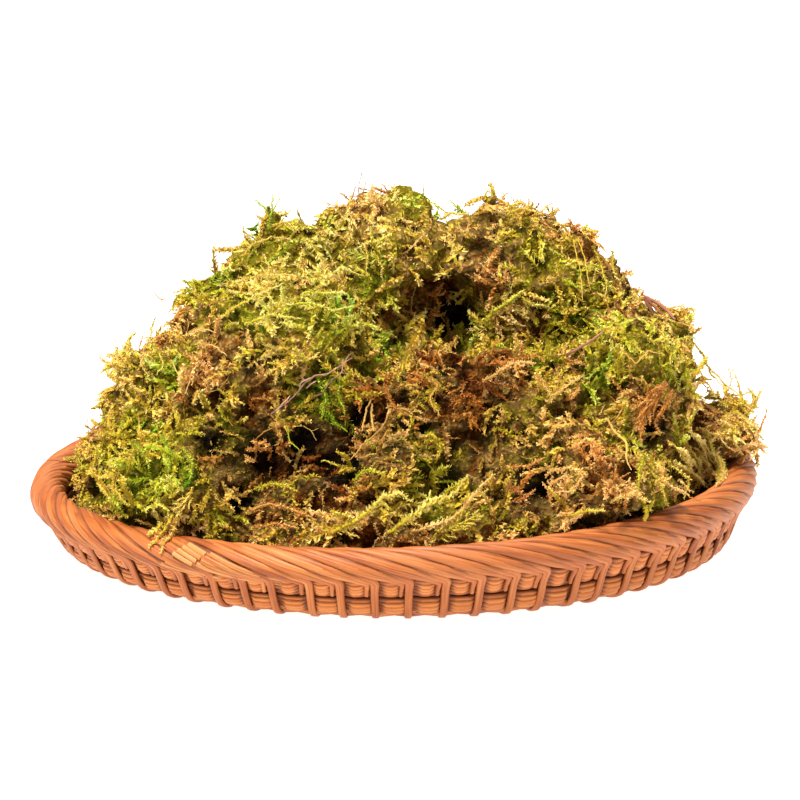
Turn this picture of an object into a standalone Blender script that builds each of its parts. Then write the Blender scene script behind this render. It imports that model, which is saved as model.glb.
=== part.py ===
# Moss clump heaped on a low round wicker tray.
# Metres, +Z up. The origin is the middle of the tray's underside. The front faces -Y.

import math

import bmesh
import bpy
from mathutils import Matrix, Vector
from mathutils.bvhtree import BVHTree

# Tray
TRAY_DIAMETER = 0.300
BORDER_THICKNESS = 0.0147
BORDER_HEIGHT = 0.0242          # centre line of the border above the table
BASE_RADIUS = 0.1335            # outside of the stakes at the table
WALL_SLOPE = 0.66               # outwards for each metre up
RIM_LEAN = 0.0036               # how much higher the rim is at +X than at the middle
STAKE_COUNT = 66
STAKE_WIDTH = 0.0033
STAKE_THICKNESS = 0.0018
ROW_HEIGHT = 0.0072             # along the wall
ROW_THICKNESS = 0.0040
LOWER_ROW_AT = 0.0060           # middle of the row, along the wall from the table
UPPER_ROW_AT = 0.0142
MAT_THICKNESS = 0.0040
GAP = 0.0004                    # between pieces that touch
ROUND_STEPS = 44

BORDER_TUBE = BORDER_THICKNESS / 2
BORDER_RADIUS = TRAY_DIAMETER / 2 - BORDER_TUBE
STAKE_TOP = BORDER_HEIGHT - 0.0042      # inside the border's tube
STAKE_FOOT = STAKE_THICKNESS * math.hypot(1.0, WALL_SLOPE)
WALL_ANGLE = math.atan(WALL_SLOPE)

# Border strands: each passes over the border in six stake spaces
STRANDS_ROUND_TUBE = 6
BORDER_SEGMENTS = 99
GROOVE_DEPTH = 0.18

# Moss: middle and radii of each clod, from the low core up to the tufts on top
CLODS = (
    (0.000, 0.000, 0.012, 0.134, 0.132, 0.072),
    (-0.038, 0.035, 0.090, 0.038, 0.036, 0.037),
    (0.002, 0.040, 0.100, 0.034, 0.036, 0.041),
    (0.045, 0.038, 0.097, 0.034, 0.036, 0.038),
    (0.072, 0.030, 0.088, 0.027, 0.032, 0.035),
    (-0.056, 0.030, 0.086, 0.020, 0.028, 0.033),
    (0.000, 0.075, 0.060, 0.075, 0.035, 0.040),
    (-0.062, 0.082, 0.040, 0.038, 0.030, 0.034),
    (0.060, 0.085, 0.044, 0.040, 0.030, 0.034),
    (-0.042, -0.025, 0.080, 0.042, 0.040, 0.036),
    (-0.018, 0.038, 0.094, 0.024, 0.034, 0.038),
    (-0.077, 0.008, 0.061, 0.025, 0.038, 0.040),
    (-0.097, 0.000, 0.051, 0.020, 0.035, 0.036),
    (0.042, -0.052, 0.062, 0.052, 0.042, 0.031),
    (0.088, -0.032, 0.060, 0.034, 0.040, 0.040),
    (0.103, 0.000, 0.060, 0.020, 0.034, 0.040),
    (0.133, 0.005, 0.040, 0.019, 0.030, 0.021),
    (-0.070, -0.075, 0.035, 0.045, 0.038, 0.034),
    (-0.005, -0.090, 0.036, 0.050, 0.035, 0.034),
    (0.070, -0.088, 0.038, 0.045, 0.033, 0.032),
    (-0.052, 0.030, 0.133, 0.007, 0.007, 0.011),
    (0.038, 0.038, 0.134, 0.006, 0.006, 0.008),
    (0.081, 0.028, 0.120, 0.007, 0.007, 0.010),
)
HOLLOWS = (
    (0.023, -0.014, 0.098, 0.024, 0.030, 0.014),
)
VOXEL = 0.0045
LUMP_SIZE = 0.022
LUMP_HEIGHT = 0.020
MOSS_DETAIL = 0.132             # share of the voxel faces that is kept
MOSS_REACH = TRAY_DIAMETER / 2

# Sticks that lie on the moss: points of each line as seen from the front, looking a little down,
# to the right of and above the point SEEN_FROM_HEIGHT on the tray's axis
LOOK_DOWN = math.radians(12.8)
SEEN_FROM_HEIGHT = 0.050
FORKED_TWIG = (
    ((-0.050, 0.002), (-0.038, 0.012), (-0.027, 0.018), (-0.021, 0.022), (-0.017, 0.027)),
    ((-0.021, 0.022), (-0.025, 0.015), (-0.032, 0.009)),
)
THIN_STICK = (
    ((0.071, 0.026), (0.077, 0.030), (0.083, 0.033), (0.087, 0.037)),
)
BARK_STRIP = (
    ((0.098, 0.046), (0.103, 0.044), (0.108, 0.040), (0.111, 0.034)),
)
TWIG_RADIUS = 0.0008
STICK_RADIUS = 0.0007
BARK_RADIUS = 0.0012
STICK_SPACING = 0.0025

# Finishes: colour and roughness
WICKER = ((0.55, 0.20, 0.07), 0.55)
MOSS = ((0.23, 0.24, 0.035), 0.95)
DARK_WOOD = ((0.10, 0.045, 0.03), 0.80)
RED_WOOD = ((0.33, 0.13, 0.07), 0.70)


def collection(name):
    made = bpy.data.collections.new(name)
    bpy.context.scene.collection.children.link(made)
    return made


def finish(name, look):
    colour, roughness = look
    made = bpy.data.materials.new(name)
    made.use_nodes = True
    shader = made.node_tree.nodes["Principled BSDF"]
    shader.inputs["Base Color"].default_value = (*colour, 1.0)
    shader.inputs["Roughness"].default_value = roughness
    shader.inputs["Metallic"].default_value = 0.0
    return made


def object_from(name, mesh, place_in):
    made = bpy.data.objects.new(name, mesh)
    place_in.objects.link(made)
    return made


def taken(obj, name, place_in):
    """Name a new primitive and move it to its collection."""
    obj.name = name
    for owner in obj.users_collection:
        owner.objects.unlink(obj)
    place_in.objects.link(obj)
    return obj


def settled(obj):
    """Swap the object's mesh for the one that its modifiers give."""
    depsgraph = bpy.context.evaluated_depsgraph_get()
    mesh = bpy.data.meshes.new_from_object(obj.evaluated_get(depsgraph))
    if obj.type == "MESH":
        obj.modifiers.clear()
        obj.data = mesh
        return obj
    made = object_from(obj.name + "_solid", mesh, obj.users_collection[0])
    made.matrix_world = obj.matrix_world
    weld = bmesh.new()
    weld.from_mesh(mesh)
    bmesh.ops.remove_doubles(weld, verts=weld.verts, dist=0.00001)
    weld.to_mesh(mesh)
    weld.free()
    name = obj.name
    bpy.data.objects.remove(obj)
    made.name = name
    return made


def lean(mesh):
    """The tray's rim dips to one side, and its base stays flat on the table."""
    base_top = MAT_THICKNESS + GAP
    for vertex in mesh.vertices:
        share = (vertex.co.z - base_top) / (BORDER_HEIGHT - base_top)
        share = min(max(share, 0.0), 1.0)
        vertex.co.z += RIM_LEAN * share * vertex.co.x / BORDER_RADIUS


def wall_point(along, inward):
    """Radius and height of a point on the wall: along it from the table, then in from its outside."""
    radius = BASE_RADIUS + along * math.sin(WALL_ANGLE) - inward * math.cos(WALL_ANGLE)
    height = along * math.cos(WALL_ANGLE) + inward * math.sin(WALL_ANGLE)
    return radius, height


def turned(name, profile, closed, place_in):
    """Turn a profile of (radius, height) points about Z. Its outer side runs from top to bottom."""
    mesh = bpy.data.meshes.new(name)
    edges = [(i, i + 1) for i in range(len(profile) - 1)]
    if closed:
        edges.append((len(profile) - 1, 0))
    mesh.from_pydata([(radius, 0.0, height) for radius, height in profile], edges, [])
    obj = object_from(name, mesh, place_in)
    screw = obj.modifiers.new("turn", "SCREW")
    screw.axis = "Z"
    screw.angle = math.tau
    screw.steps = ROUND_STEPS
    screw.render_steps = ROUND_STEPS
    screw.use_merge_vertices = True
    screw.merge_threshold = 0.00001
    obj = settled(obj)
    lean(obj.data)
    return obj


def border_and_stakes(parts, cutters):
    bpy.ops.mesh.primitive_torus_add(
        major_segments=BORDER_SEGMENTS,
        minor_segments=2 * STRANDS_ROUND_TUBE,
        major_radius=BORDER_RADIUS,
        minor_radius=BORDER_TUBE,
        location=(0.0, 0.0, 0.0),
    )
    border = taken(bpy.context.object, "border_and_stakes", parts)

    # The strands run round the tube as they go round the tray, outside edge downwards
    twists = STAKE_COUNT / STRANDS_ROUND_TUBE
    for vertex in border.data.vertices:
        around = math.atan2(vertex.co.y, vertex.co.x)
        out = math.hypot(vertex.co.x, vertex.co.y) - BORDER_RADIUS
        across = math.atan2(vertex.co.z, out)
        groove = 0.5 - 0.5 * math.cos(STRANDS_ROUND_TUBE * across)
        tube = BORDER_TUBE * (1.0 - GROOVE_DEPTH * groove)
        turn = across - twists * around
        radius = BORDER_RADIUS + tube * math.cos(turn)
        height = BORDER_HEIGHT + tube * math.sin(turn)
        vertex.co = (radius * math.cos(around), radius * math.sin(around), height)
    lean(border.data)

    # Stakes: upright slats sheared outwards along the wall, their feet flat on the table
    slats = bmesh.new()
    shear = Matrix.Identity(4)
    shear[0][2] = WALL_SLOPE
    size = Matrix.Diagonal((STAKE_FOOT, STAKE_WIDTH, STAKE_TOP, 1.0))
    for number in range(STAKE_COUNT):
        turn = Matrix.Rotation(math.tau * number / STAKE_COUNT, 4, "Z")
        lift = Matrix.Translation((BASE_RADIUS - STAKE_FOOT / 2, 0.0, 0.0))
        upright = Matrix.Translation((0.0, 0.0, STAKE_TOP / 2)) @ size
        bmesh.ops.create_cube(slats, size=1.0, matrix=turn @ lift @ shear @ upright)
    mesh = bpy.data.meshes.new("stakes")
    slats.to_mesh(mesh)
    slats.free()
    lean(mesh)
    stakes = object_from("stakes", mesh, cutters)
    union = border.modifiers.new("stakes", "BOOLEAN")
    union.operation = "UNION"
    union.solver = "EXACT"
    union.object = stakes
    border = settled(border)
    border.data.materials.clear()
    border.data.materials.append(finish("wicker cane, border", WICKER))
    return border


def weaver(name, along, parts):
    """A bundle of thin canes that lies inside the stakes: a flattened ring."""
    middle = STAKE_THICKNESS + GAP + ROW_THICKNESS / 2
    half_height = ROW_HEIGHT / 2
    half_depth = ROW_THICKNESS / 2
    profile = (
        wall_point(along + half_height, middle),
        wall_point(along + 0.45 * half_height, middle - half_depth),
        wall_point(along - 0.45 * half_height, middle - half_depth),
        wall_point(along - half_height, middle),
        wall_point(along - 0.45 * half_height, middle + half_depth),
        wall_point(along + 0.45 * half_height, middle + half_depth),
    )
    row = turned(name, profile, True, parts)
    row.data.materials.append(finish(name + " cane", WICKER))
    return row


def woven_base(parts):
    bpy.ops.mesh.primitive_cylinder_add(
        vertices=STAKE_COUNT,
        radius=BASE_RADIUS - STAKE_FOOT - GAP,
        depth=MAT_THICKNESS,
        location=(0.0, 0.0, MAT_THICKNESS / 2),
    )
    base = taken(bpy.context.object, "woven_base", parts)
    base.data.materials.append(finish("wicker cane, base", WICKER))
    return base


def tray_space(cutters):
    """All the room above the base, inside the wall and round the border, that moss can fill."""
    inside = STAKE_THICKNESS + 2 * GAP + ROW_THICKNESS + GAP
    clear = BORDER_TUBE + GAP
    top = 0.2
    brink = BORDER_HEIGHT + 0.010
    profile = [(0.0, top), (MOSS_REACH, top), (MOSS_REACH, brink)]
    for degrees in range(45, 221, 25):
        bend = math.radians(degrees)
        profile.append((BORDER_RADIUS + clear * math.cos(bend), BORDER_HEIGHT + clear * math.sin(bend)))
    profile.append(wall_point(UPPER_ROW_AT + ROW_HEIGHT / 2, inside))
    radius, height = wall_point(LOWER_ROW_AT, inside)
    profile.append((radius, height))
    profile.append((radius - 0.002, MAT_THICKNESS + GAP))
    profile.append((0.0, MAT_THICKNESS + GAP))
    return turned("tray_space", profile, False, cutters)


def moss_clump(parts, cutters):
    form = bmesh.new()
    for x, y, z, wide, deep, high in CLODS:
        place = Matrix.Translation((x, y, z)) @ Matrix.Diagonal((wide, deep, high, 1.0))
        bmesh.ops.create_icosphere(form, subdivisions=4, radius=1.0, matrix=place)
    mesh = bpy.data.meshes.new("moss_clump")
    form.to_mesh(mesh)
    form.free()
    moss = object_from("moss_clump", mesh, parts)

    grown = moss.modifiers.new("one body", "REMESH")
    grown.mode = "VOXEL"
    grown.voxel_size = VOXEL
    lumps = bpy.data.textures.new("moss lumps", "CLOUDS")
    lumps.noise_scale = LUMP_SIZE
    lumps.noise_depth = 1
    lumpy = moss.modifiers.new("lumps", "DISPLACE")
    lumpy.texture = lumps
    lumpy.texture_coords = "LOCAL"
    lumpy.strength = LUMP_HEIGHT
    lumpy.mid_level = 0.5
    moss = settled(moss)

    flat = bmesh.new()
    flat.from_mesh(moss.data)
    cut = bmesh.ops.bisect_plane(
        flat,
        geom=flat.verts[:] + flat.edges[:] + flat.faces[:],
        plane_co=(0.0, 0.0, MAT_THICKNESS),
        plane_no=(0.0, 0.0, -1.0),
        clear_outer=True,
    )
    rim = [item for item in cut["geom_cut"] if isinstance(item, bmesh.types.BMEdge)]
    bmesh.ops.contextual_create(flat, geom=rim)
    flat.to_mesh(moss.data)
    flat.free()
    fewer = moss.modifiers.new("fewer faces", "DECIMATE")
    fewer.ratio = MOSS_DETAIL
    fewer.use_collapse_triangulate = True
    moss = settled(moss)

    fit = moss.modifiers.new("fit the tray", "BOOLEAN")
    fit.operation = "INTERSECT"
    fit.solver = "EXACT"
    fit.object = tray_space(cutters)
    carve(moss, hollow_cutter(cutters))
    moss = settled(moss)
    moss.data.materials.clear()
    moss.data.materials.append(finish("moss", MOSS))
    return moss


def carve(obj, cutter):
    cut = obj.modifiers.new(cutter.name, "BOOLEAN")
    cut.operation = "DIFFERENCE"
    cut.solver = "EXACT"
    cut.object = cutter


def hollow_cutter(cutters):
    form = bmesh.new()
    for x, y, z, wide, deep, high in HOLLOWS:
        place = Matrix.Translation((x, y, z)) @ Matrix.Diagonal((wide, deep, high, 1.0))
        bmesh.ops.create_icosphere(form, subdivisions=2, radius=1.0, matrix=place)
    mesh = bpy.data.meshes.new("hollows")
    form.to_mesh(mesh)
    form.free()
    return object_from("hollows", mesh, cutters)


def point_on(surface, seen, lift):
    """Where the line of sight through a point seen from the front meets the surface."""
    right, up = seen
    sight = Vector((0.0, math.cos(LOOK_DOWN), -math.sin(LOOK_DOWN)))
    rise = Vector((0.0, math.sin(LOOK_DOWN), math.cos(LOOK_DOWN)))
    start = Vector((right, 0.0, SEEN_FROM_HEIGHT)) + up * rise - sight
    place, normal, _face, _distance = surface.ray_cast(start, sight)
    return place + lift * normal


def smooth_line(points, spacing):
    """Evenly spaced points on a Catmull-Rom curve through the given ones."""
    ends = [2 * points[0] - points[1], *points, 2 * points[-1] - points[-2]]
    line = []
    for a, b, c, d in zip(ends, ends[1:], ends[2:], ends[3:]):
        steps = max(1, round((c - b).length / spacing))
        for step in range(steps):
            t = step / steps
            line.append(
                0.5 * (2 * b + (c - a) * t + (2 * a - 5 * b + 4 * c - d) * t**2)
                + 0.5 * (3 * b - a - 3 * c + d) * t**3
            )
    line.append(points[-1])
    return line


def tube(name, line, radius, place_in):
    """A round stick, a little thinner at its far end, as a closed mesh."""
    curve = bpy.data.curves.new(name, "CURVE")
    curve.dimensions = "3D"
    curve.bevel_depth = radius
    curve.bevel_resolution = 1
    curve.use_fill_caps = True
    spline = curve.splines.new("POLY")
    spline.points.add(len(line) - 1)
    for number, place in enumerate(line):
        spline.points[number].co = (*place, 1.0)
        spline.points[number].radius = 1.0 - 0.35 * number / (len(line) - 1)
    return settled(object_from(name, curve, place_in))


def stick(name, lines, radius, surface, parts, cutters):
    """A stick in its bed on the moss. Lines after the first are its forks."""
    lift = 0.4 * radius
    room = 1.3 * GAP
    routes = []
    for seen in lines:
        points = [point_on(surface, place, lift) for place in seen]
        routes.append(smooth_line(points, STICK_SPACING))
    body = tube(name, routes[0], radius, parts)
    bed = tube(name + "_bed", routes[0], radius + room, cutters)
    for number, route in enumerate(routes[1:]):
        fork = tube(f"{name}_fork_{number}", route, 0.8 * radius, cutters)
        join(body, fork)
        fork_bed = tube(f"{name}_fork_bed_{number}", route, 0.8 * radius + room, cutters)
        join(bed, fork_bed)
    return settled(body), settled(bed)


def join(obj, other):
    union = obj.modifiers.new(other.name, "BOOLEAN")
    union.operation = "UNION"
    union.solver = "EXACT"
    union.object = other


def surface_of(obj):
    form = bmesh.new()
    form.from_mesh(obj.data)
    surface = BVHTree.FromBMesh(form)
    form.free()
    return surface


def sticks(moss, parts, cutters):
    surface = surface_of(moss)
    laid = (
        ("forked_twig", FORKED_TWIG, TWIG_RADIUS, DARK_WOOD),
        ("thin_stick", THIN_STICK, STICK_RADIUS, RED_WOOD),
        ("bark_strip", BARK_STRIP, BARK_RADIUS, DARK_WOOD),
    )
    for name, lines, radius, look in laid:
        body, bed = stick(name, lines, radius, surface, parts, cutters)
        body.data.materials.clear()
        body.data.materials.append(finish(name + " wood", look))
        carve(moss, bed)
    settled(moss)


def main():
    for obj in list(bpy.data.objects):
        bpy.data.objects.remove(obj)
    parts = collection("moss_clump_on_tray")
    cutters = collection("cutters")
    border_and_stakes(parts, cutters)
    weaver("upper_weaver", UPPER_ROW_AT, parts)
    weaver("lower_weaver", LOWER_ROW_AT, parts)
    woven_base(parts)
    moss = moss_clump(parts, cutters)
    sticks(moss, parts, cutters)
    for helper in cutters.objects:
        helper.hide_render = True
        helper.display_type = "WIRE"


main()
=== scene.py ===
# Moss clump heaped on a low round wicker tray: the finish of every piece, for the render.
# Metres, +Z up, the front faces -Y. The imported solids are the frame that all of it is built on.

import math

import bmesh
import bpy
import numpy as np
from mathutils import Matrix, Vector, noise
from mathutils.bvhtree import BVHTree


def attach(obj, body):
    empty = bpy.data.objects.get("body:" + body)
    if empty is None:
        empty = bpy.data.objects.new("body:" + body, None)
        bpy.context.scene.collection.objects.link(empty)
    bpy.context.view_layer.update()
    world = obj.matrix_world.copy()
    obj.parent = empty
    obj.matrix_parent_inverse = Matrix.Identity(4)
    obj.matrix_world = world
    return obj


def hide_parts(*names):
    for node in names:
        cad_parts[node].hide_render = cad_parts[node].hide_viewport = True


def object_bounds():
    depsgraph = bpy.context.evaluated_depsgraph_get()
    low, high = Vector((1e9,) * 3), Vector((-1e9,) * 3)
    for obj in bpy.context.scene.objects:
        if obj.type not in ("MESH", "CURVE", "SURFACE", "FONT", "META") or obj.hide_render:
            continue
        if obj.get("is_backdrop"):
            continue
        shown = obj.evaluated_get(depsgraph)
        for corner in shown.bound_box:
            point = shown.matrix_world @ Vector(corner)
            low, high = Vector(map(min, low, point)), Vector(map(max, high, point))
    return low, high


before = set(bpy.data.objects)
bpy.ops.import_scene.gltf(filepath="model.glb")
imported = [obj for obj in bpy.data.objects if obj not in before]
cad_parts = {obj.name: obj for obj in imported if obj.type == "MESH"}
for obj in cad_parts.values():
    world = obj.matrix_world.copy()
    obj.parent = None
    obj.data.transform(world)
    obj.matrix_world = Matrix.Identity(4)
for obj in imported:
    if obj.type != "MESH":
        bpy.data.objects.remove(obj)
solidBox = [list(corner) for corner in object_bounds()]

mm = 0.001
bakeLayer = "OFBake"      # the UV map that the export keeps
noise.seed_set(11)        # else noise_vector draws its offsets from the clock


def linear(hexColour):
    parts = [int(hexColour[i:i + 2], 16) / 255 for i in (1, 3, 5)]
    return (*[c / 12.92 if c <= 0.04045 else ((c + 0.055) / 1.055) ** 2.4 for c in parts], 1.0)


# A node's inputs set, or linked where the value is a socket
def fill(tree, node, inputs):
    for name, value in inputs.items():
        if isinstance(value, bpy.types.NodeSocket):
            tree.links.new(value, node.inputs[name])
        else:
            node.inputs[name].default_value = value


def addNode(tree, kind, settings=None, inputs=None):
    node = tree.nodes.new(kind)
    for name, value in (settings or {}).items():
        setattr(node, name, value)
    fill(tree, node, inputs or {})
    return node


def calc(tree, operation, *values, clamp=False):
    settings = {"operation": operation, "use_clamp": clamp}
    return addNode(tree, "ShaderNodeMath", settings, dict(enumerate(values))).outputs[0]


def vector(tree, operation, *values, scale=None):
    inputs = dict(enumerate(values)) if scale is None else {0: values[0], "Scale": scale}
    made = addNode(tree, "ShaderNodeVectorMath", {"operation": operation}, inputs).outputs
    return made["Value" if operation == "DOT_PRODUCT" else "Vector"]


def combined(tree, x=0.0, y=0.0, z=0.0):
    return addNode(tree, "ShaderNodeCombineXYZ", inputs={"X": x, "Y": y, "Z": z}).outputs[0]


def separated(tree, place):
    return addNode(tree, "ShaderNodeSeparateXYZ", inputs={"Vector": place}).outputs


def mapped(tree, value, fromLow=0.0, fromHigh=1.0, low=0.0, high=1.0, kind="LINEAR"):
    return addNode(tree, "ShaderNodeMapRange", {"interpolation_type": kind}, {
        "Value": value, "From Min": fromLow, "From Max": fromHigh, "To Min": low, "To Max": high,
    }).outputs["Result"]


# Noise as a value and as a colour; its place is the point's own unless one is given
def noiseOf(tree, scale, detail, place=None):
    inputs = {"Scale": scale, "Detail": detail}
    if place is not None:
        inputs["Vector"] = place
    made = addNode(tree, "ShaderNodeTexNoise", inputs=inputs).outputs
    return made["Fac"], made["Color"]


def wavering(tree, scale, size, place=None):
    centred = vector(tree, "SUBTRACT", noiseOf(tree, scale, 1.0, place)[1], (0.5, 0.5, 0.5))
    return vector(tree, "SCALE", centred, scale=size)


def named(tree, name, kind="FLOAT"):
    return addNode(tree, "GeometryNodeInputNamedAttribute", {"data_type": kind}, {
        "Name": name,
    }).outputs["Attribute"]


def stored(tree, geometry, name, value, kind="FLOAT", domain="POINT"):
    settings = {"data_type": kind, "domain": domain}
    return addNode(tree, "GeometryNodeStoreNamedAttribute", settings, {
        "Geometry": geometry, "Name": name, "Value": value,
    }).outputs[0]


# A chance value between two limits; "step" sets it apart from the tree's other draws
def between(tree, low, high, seed, step=0, number=None):
    inputs = {"Min": low, "Max": high, "Seed": calc(tree, "ADD", seed, float(step)) if step else seed}
    if number is not None:
        inputs["ID"] = number
    return addNode(tree, "FunctionNodeRandomValue", {"data_type": "FLOAT"}, inputs).outputs["Value"]


def realized(tree, geometry):
    return addNode(tree, "GeometryNodeRealizeInstances", inputs={"Geometry": geometry}).outputs[0]


def ringProfile(tree, given, radius):
    return addNode(tree, "GeometryNodeCurvePrimitiveCircle", inputs={
        "Resolution": given["Sides"], "Radius": given[radius],
    }).outputs["Curve"]


def tube(tree, curve, profile, scale):
    return addNode(tree, "GeometryNodeCurveToMesh", inputs={
        "Curve": curve, "Profile Curve": profile, "Fill Caps": True, "Scale": scale,
    }).outputs[0]


def newTree(name, sockets):
    tree = bpy.data.node_groups.new(name, "GeometryNodeTree")
    face = tree.interface
    face.new_socket(name="Geometry", in_out="INPUT", socket_type="NodeSocketGeometry")
    for label, kind in {**sockets, "Seed": "Int", "Finish": "Material"}.items():
        face.new_socket(name=label, in_out="INPUT", socket_type="NodeSocket" + kind)
    face.new_socket(name="Geometry", in_out="OUTPUT", socket_type="NodeSocketGeometry")
    return tree, addNode(tree, "NodeGroupInput").outputs


# The tree's end: the UV map that the export keeps, the material and the output
def endTree(tree, given, geometry, chart):
    made = stored(tree, geometry, bakeLayer, chart, "FLOAT2", "CORNER")
    made = addNode(tree, "GeometryNodeSetMaterial", inputs={"Geometry": made, "Material": given["Finish"]})
    addNode(tree, "NodeGroupOutput", inputs={"Geometry": made.outputs[0]})
    return tree


def newMaterial(name, settings):
    made = bpy.data.materials.new(name)
    made.use_nodes = True
    shader = made.node_tree.nodes["Principled BSDF"]
    fill(made.node_tree, shader, settings)
    return made, made.node_tree, shader


def ramped(tree, share, stops):
    node = addNode(tree, "ShaderNodeValToRGB", inputs={"Fac": share})
    ramp = node.color_ramp
    while len(ramp.elements) < len(stops):
        ramp.elements.new(0.5)
    for stop, (place, colour) in zip(ramp.elements, stops):
        stop.position = place
        stop.color = linear(colour)
    return node.outputs["Color"]


def mixed(tree, share, first, second):
    return addNode(tree, "ShaderNodeMix", {"data_type": "RGBA"}, {
        "Factor": share, "A": first, "B": second,
    }).outputs["Result"]


def dimmed(tree, colour, value):
    made = addNode(tree, "ShaderNodeHueSaturation", inputs={"Color": colour, "Value": value})
    return made.outputs["Color"]


def attributeOf(tree, name, output="Fac"):
    return addNode(tree, "ShaderNodeAttribute", {"attribute_name": name}).outputs[output]


def bumped(tree, strength, depth, height):
    return addNode(tree, "ShaderNodeBump", inputs={
        "Strength": strength, "Distance": depth, "Height": height,
    }).outputs["Normal"]


def newObject(name, mesh):
    obj = bpy.data.objects.new(name, mesh)
    bpy.context.scene.collection.objects.link(obj)
    return obj


def newMesh(name, places, edges, faces, **values):
    mesh = bpy.data.meshes.new(name)
    mesh.from_pydata(places, edges, faces)
    putValues(mesh, values)
    return mesh


def putValues(mesh, values, kind="FLOAT"):
    for name, numbers in values.items():
        mesh.attributes.new(name, kind, "POINT").data.foreach_set("value", numbers)


def settle(obj):
    depsgraph = bpy.context.evaluated_depsgraph_get()
    mesh = bpy.data.meshes.new_from_object(
        obj.evaluated_get(depsgraph), preserve_all_data_layers=True, depsgraph=depsgraph
    )
    mesh.name = obj.name
    obj.modifiers.clear()
    obj.data = mesh
    return obj


def pointsOf(mesh):
    places = np.empty(len(mesh.vertices) * 3)
    mesh.vertices.foreach_get("co", places)
    return places.reshape(-1, 3)


def grow(name, source, tree, values):
    obj = newObject(name, source)
    modifier = obj.modifiers.new("grow", "NODES")
    modifier.node_group = tree
    for item in tree.interface.items_tree:
        if item.in_out == "INPUT" and item.name in values:
            modifier[item.identifier] = values[item.name]
    return settle(obj)


def finishPiece(obj, slotName, *nodes):
    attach(obj, "root")
    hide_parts(*nodes)
    triangles = sum(len(face.vertices) - 2 for face in obj.data.polygons)
    print(f"{obj.name}: {triangles} triangles")


def smoothStep(low, high, value):
    share = np.clip((value - low) / (high - low), 0, 1)
    return share * share * (3 - 2 * share)


# The tray's section: the middle of the outermost cane, from the foot up the wall and over the border
tray = {
    "stakes": 66,
    "borderRadius": 142.65 * mm,
    "borderHeight": 24.2 * mm,
    "tubeRadius": 7.35 * mm,
    "caneRadius": 0.78 * mm,
    "lean": 3.6 * mm,
    "leanStart": 4.4 * mm,
    "wall": (
        (130.0, 1.5), (132.6, 1.6), (135.2, 2.3), (137.6, 3.9), (139.3, 6.6), (140.8, 9.8),
        (142.1, 13.0), (143.6, 15.8), (145.8, 18.2),
    ),
}
pitch = math.tau * tray["borderRadius"] / tray["stakes"]


def traySection():
    reach = tray["tubeRadius"] - tray["caneRadius"]
    points = [np.array(point) * mm for point in tray["wall"]]
    for degrees in range(-28, 243, 10):
        bend = math.radians(degrees)
        across = np.array((math.cos(bend), math.sin(bend))) * reach
        points.append(across + (tray["borderRadius"], tray["borderHeight"]))
    for _ in range(2):
        cut = [points[0]]
        for a, b in zip(points, points[1:]):
            cut += [0.75 * a + 0.25 * b, 0.25 * a + 0.75 * b]
        points = cut + [points[-1]]
    points = np.array(points)
    steps = np.linalg.norm(np.diff(points, axis=0), axis=1)
    length = np.concatenate(([0.0], np.cumsum(steps)))
    ahead = np.gradient(points, length, axis=0)
    ahead /= np.linalg.norm(ahead, axis=1, keepdims=True)
    return length, points, ahead


section = traySection()


# Round the tray by "across" at the border, "up" along the section, and out from it by "lift"
def onTray(across, up, lift):
    length, points, ahead = section
    radius, height, aheadR, aheadZ = (
        np.interp(up, length, line) for line in (*points.T, *ahead.T)
    )
    return roundAt(across / tray["borderRadius"], radius + lift * aheadZ, height - lift * aheadR)


def roundAt(angle, radius, height):
    return np.stack((radius * np.cos(angle), radius * np.sin(angle), height), axis=1)


def heightAlong(height):
    length, points, _ahead = section
    wall = length < length[-1] * 0.45
    return float(np.interp(height, points[wall, 1], length[wall]))


# Lines of points as a mesh of edges, with values for each line or for each of its points
def lineMesh(name, lines, closed=False, **values):
    places, edges = [], []
    for line in lines:
        first = len(places)
        places += [tuple(point) for point in line]
        edges += [(i, i + 1) for i in range(first, len(places) - 1)]
        if closed:
            edges.append((len(places) - 1, first))
    mesh = newMesh(name, places, edges, [])
    for label, given in values.items():
        spread = np.concatenate([np.broadcast_to(value, len(line)) for value, line in zip(given, lines)])
        putValues(mesh, {label: spread}, "INT" if label == "cane" else "FLOAT")
    return mesh


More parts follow.
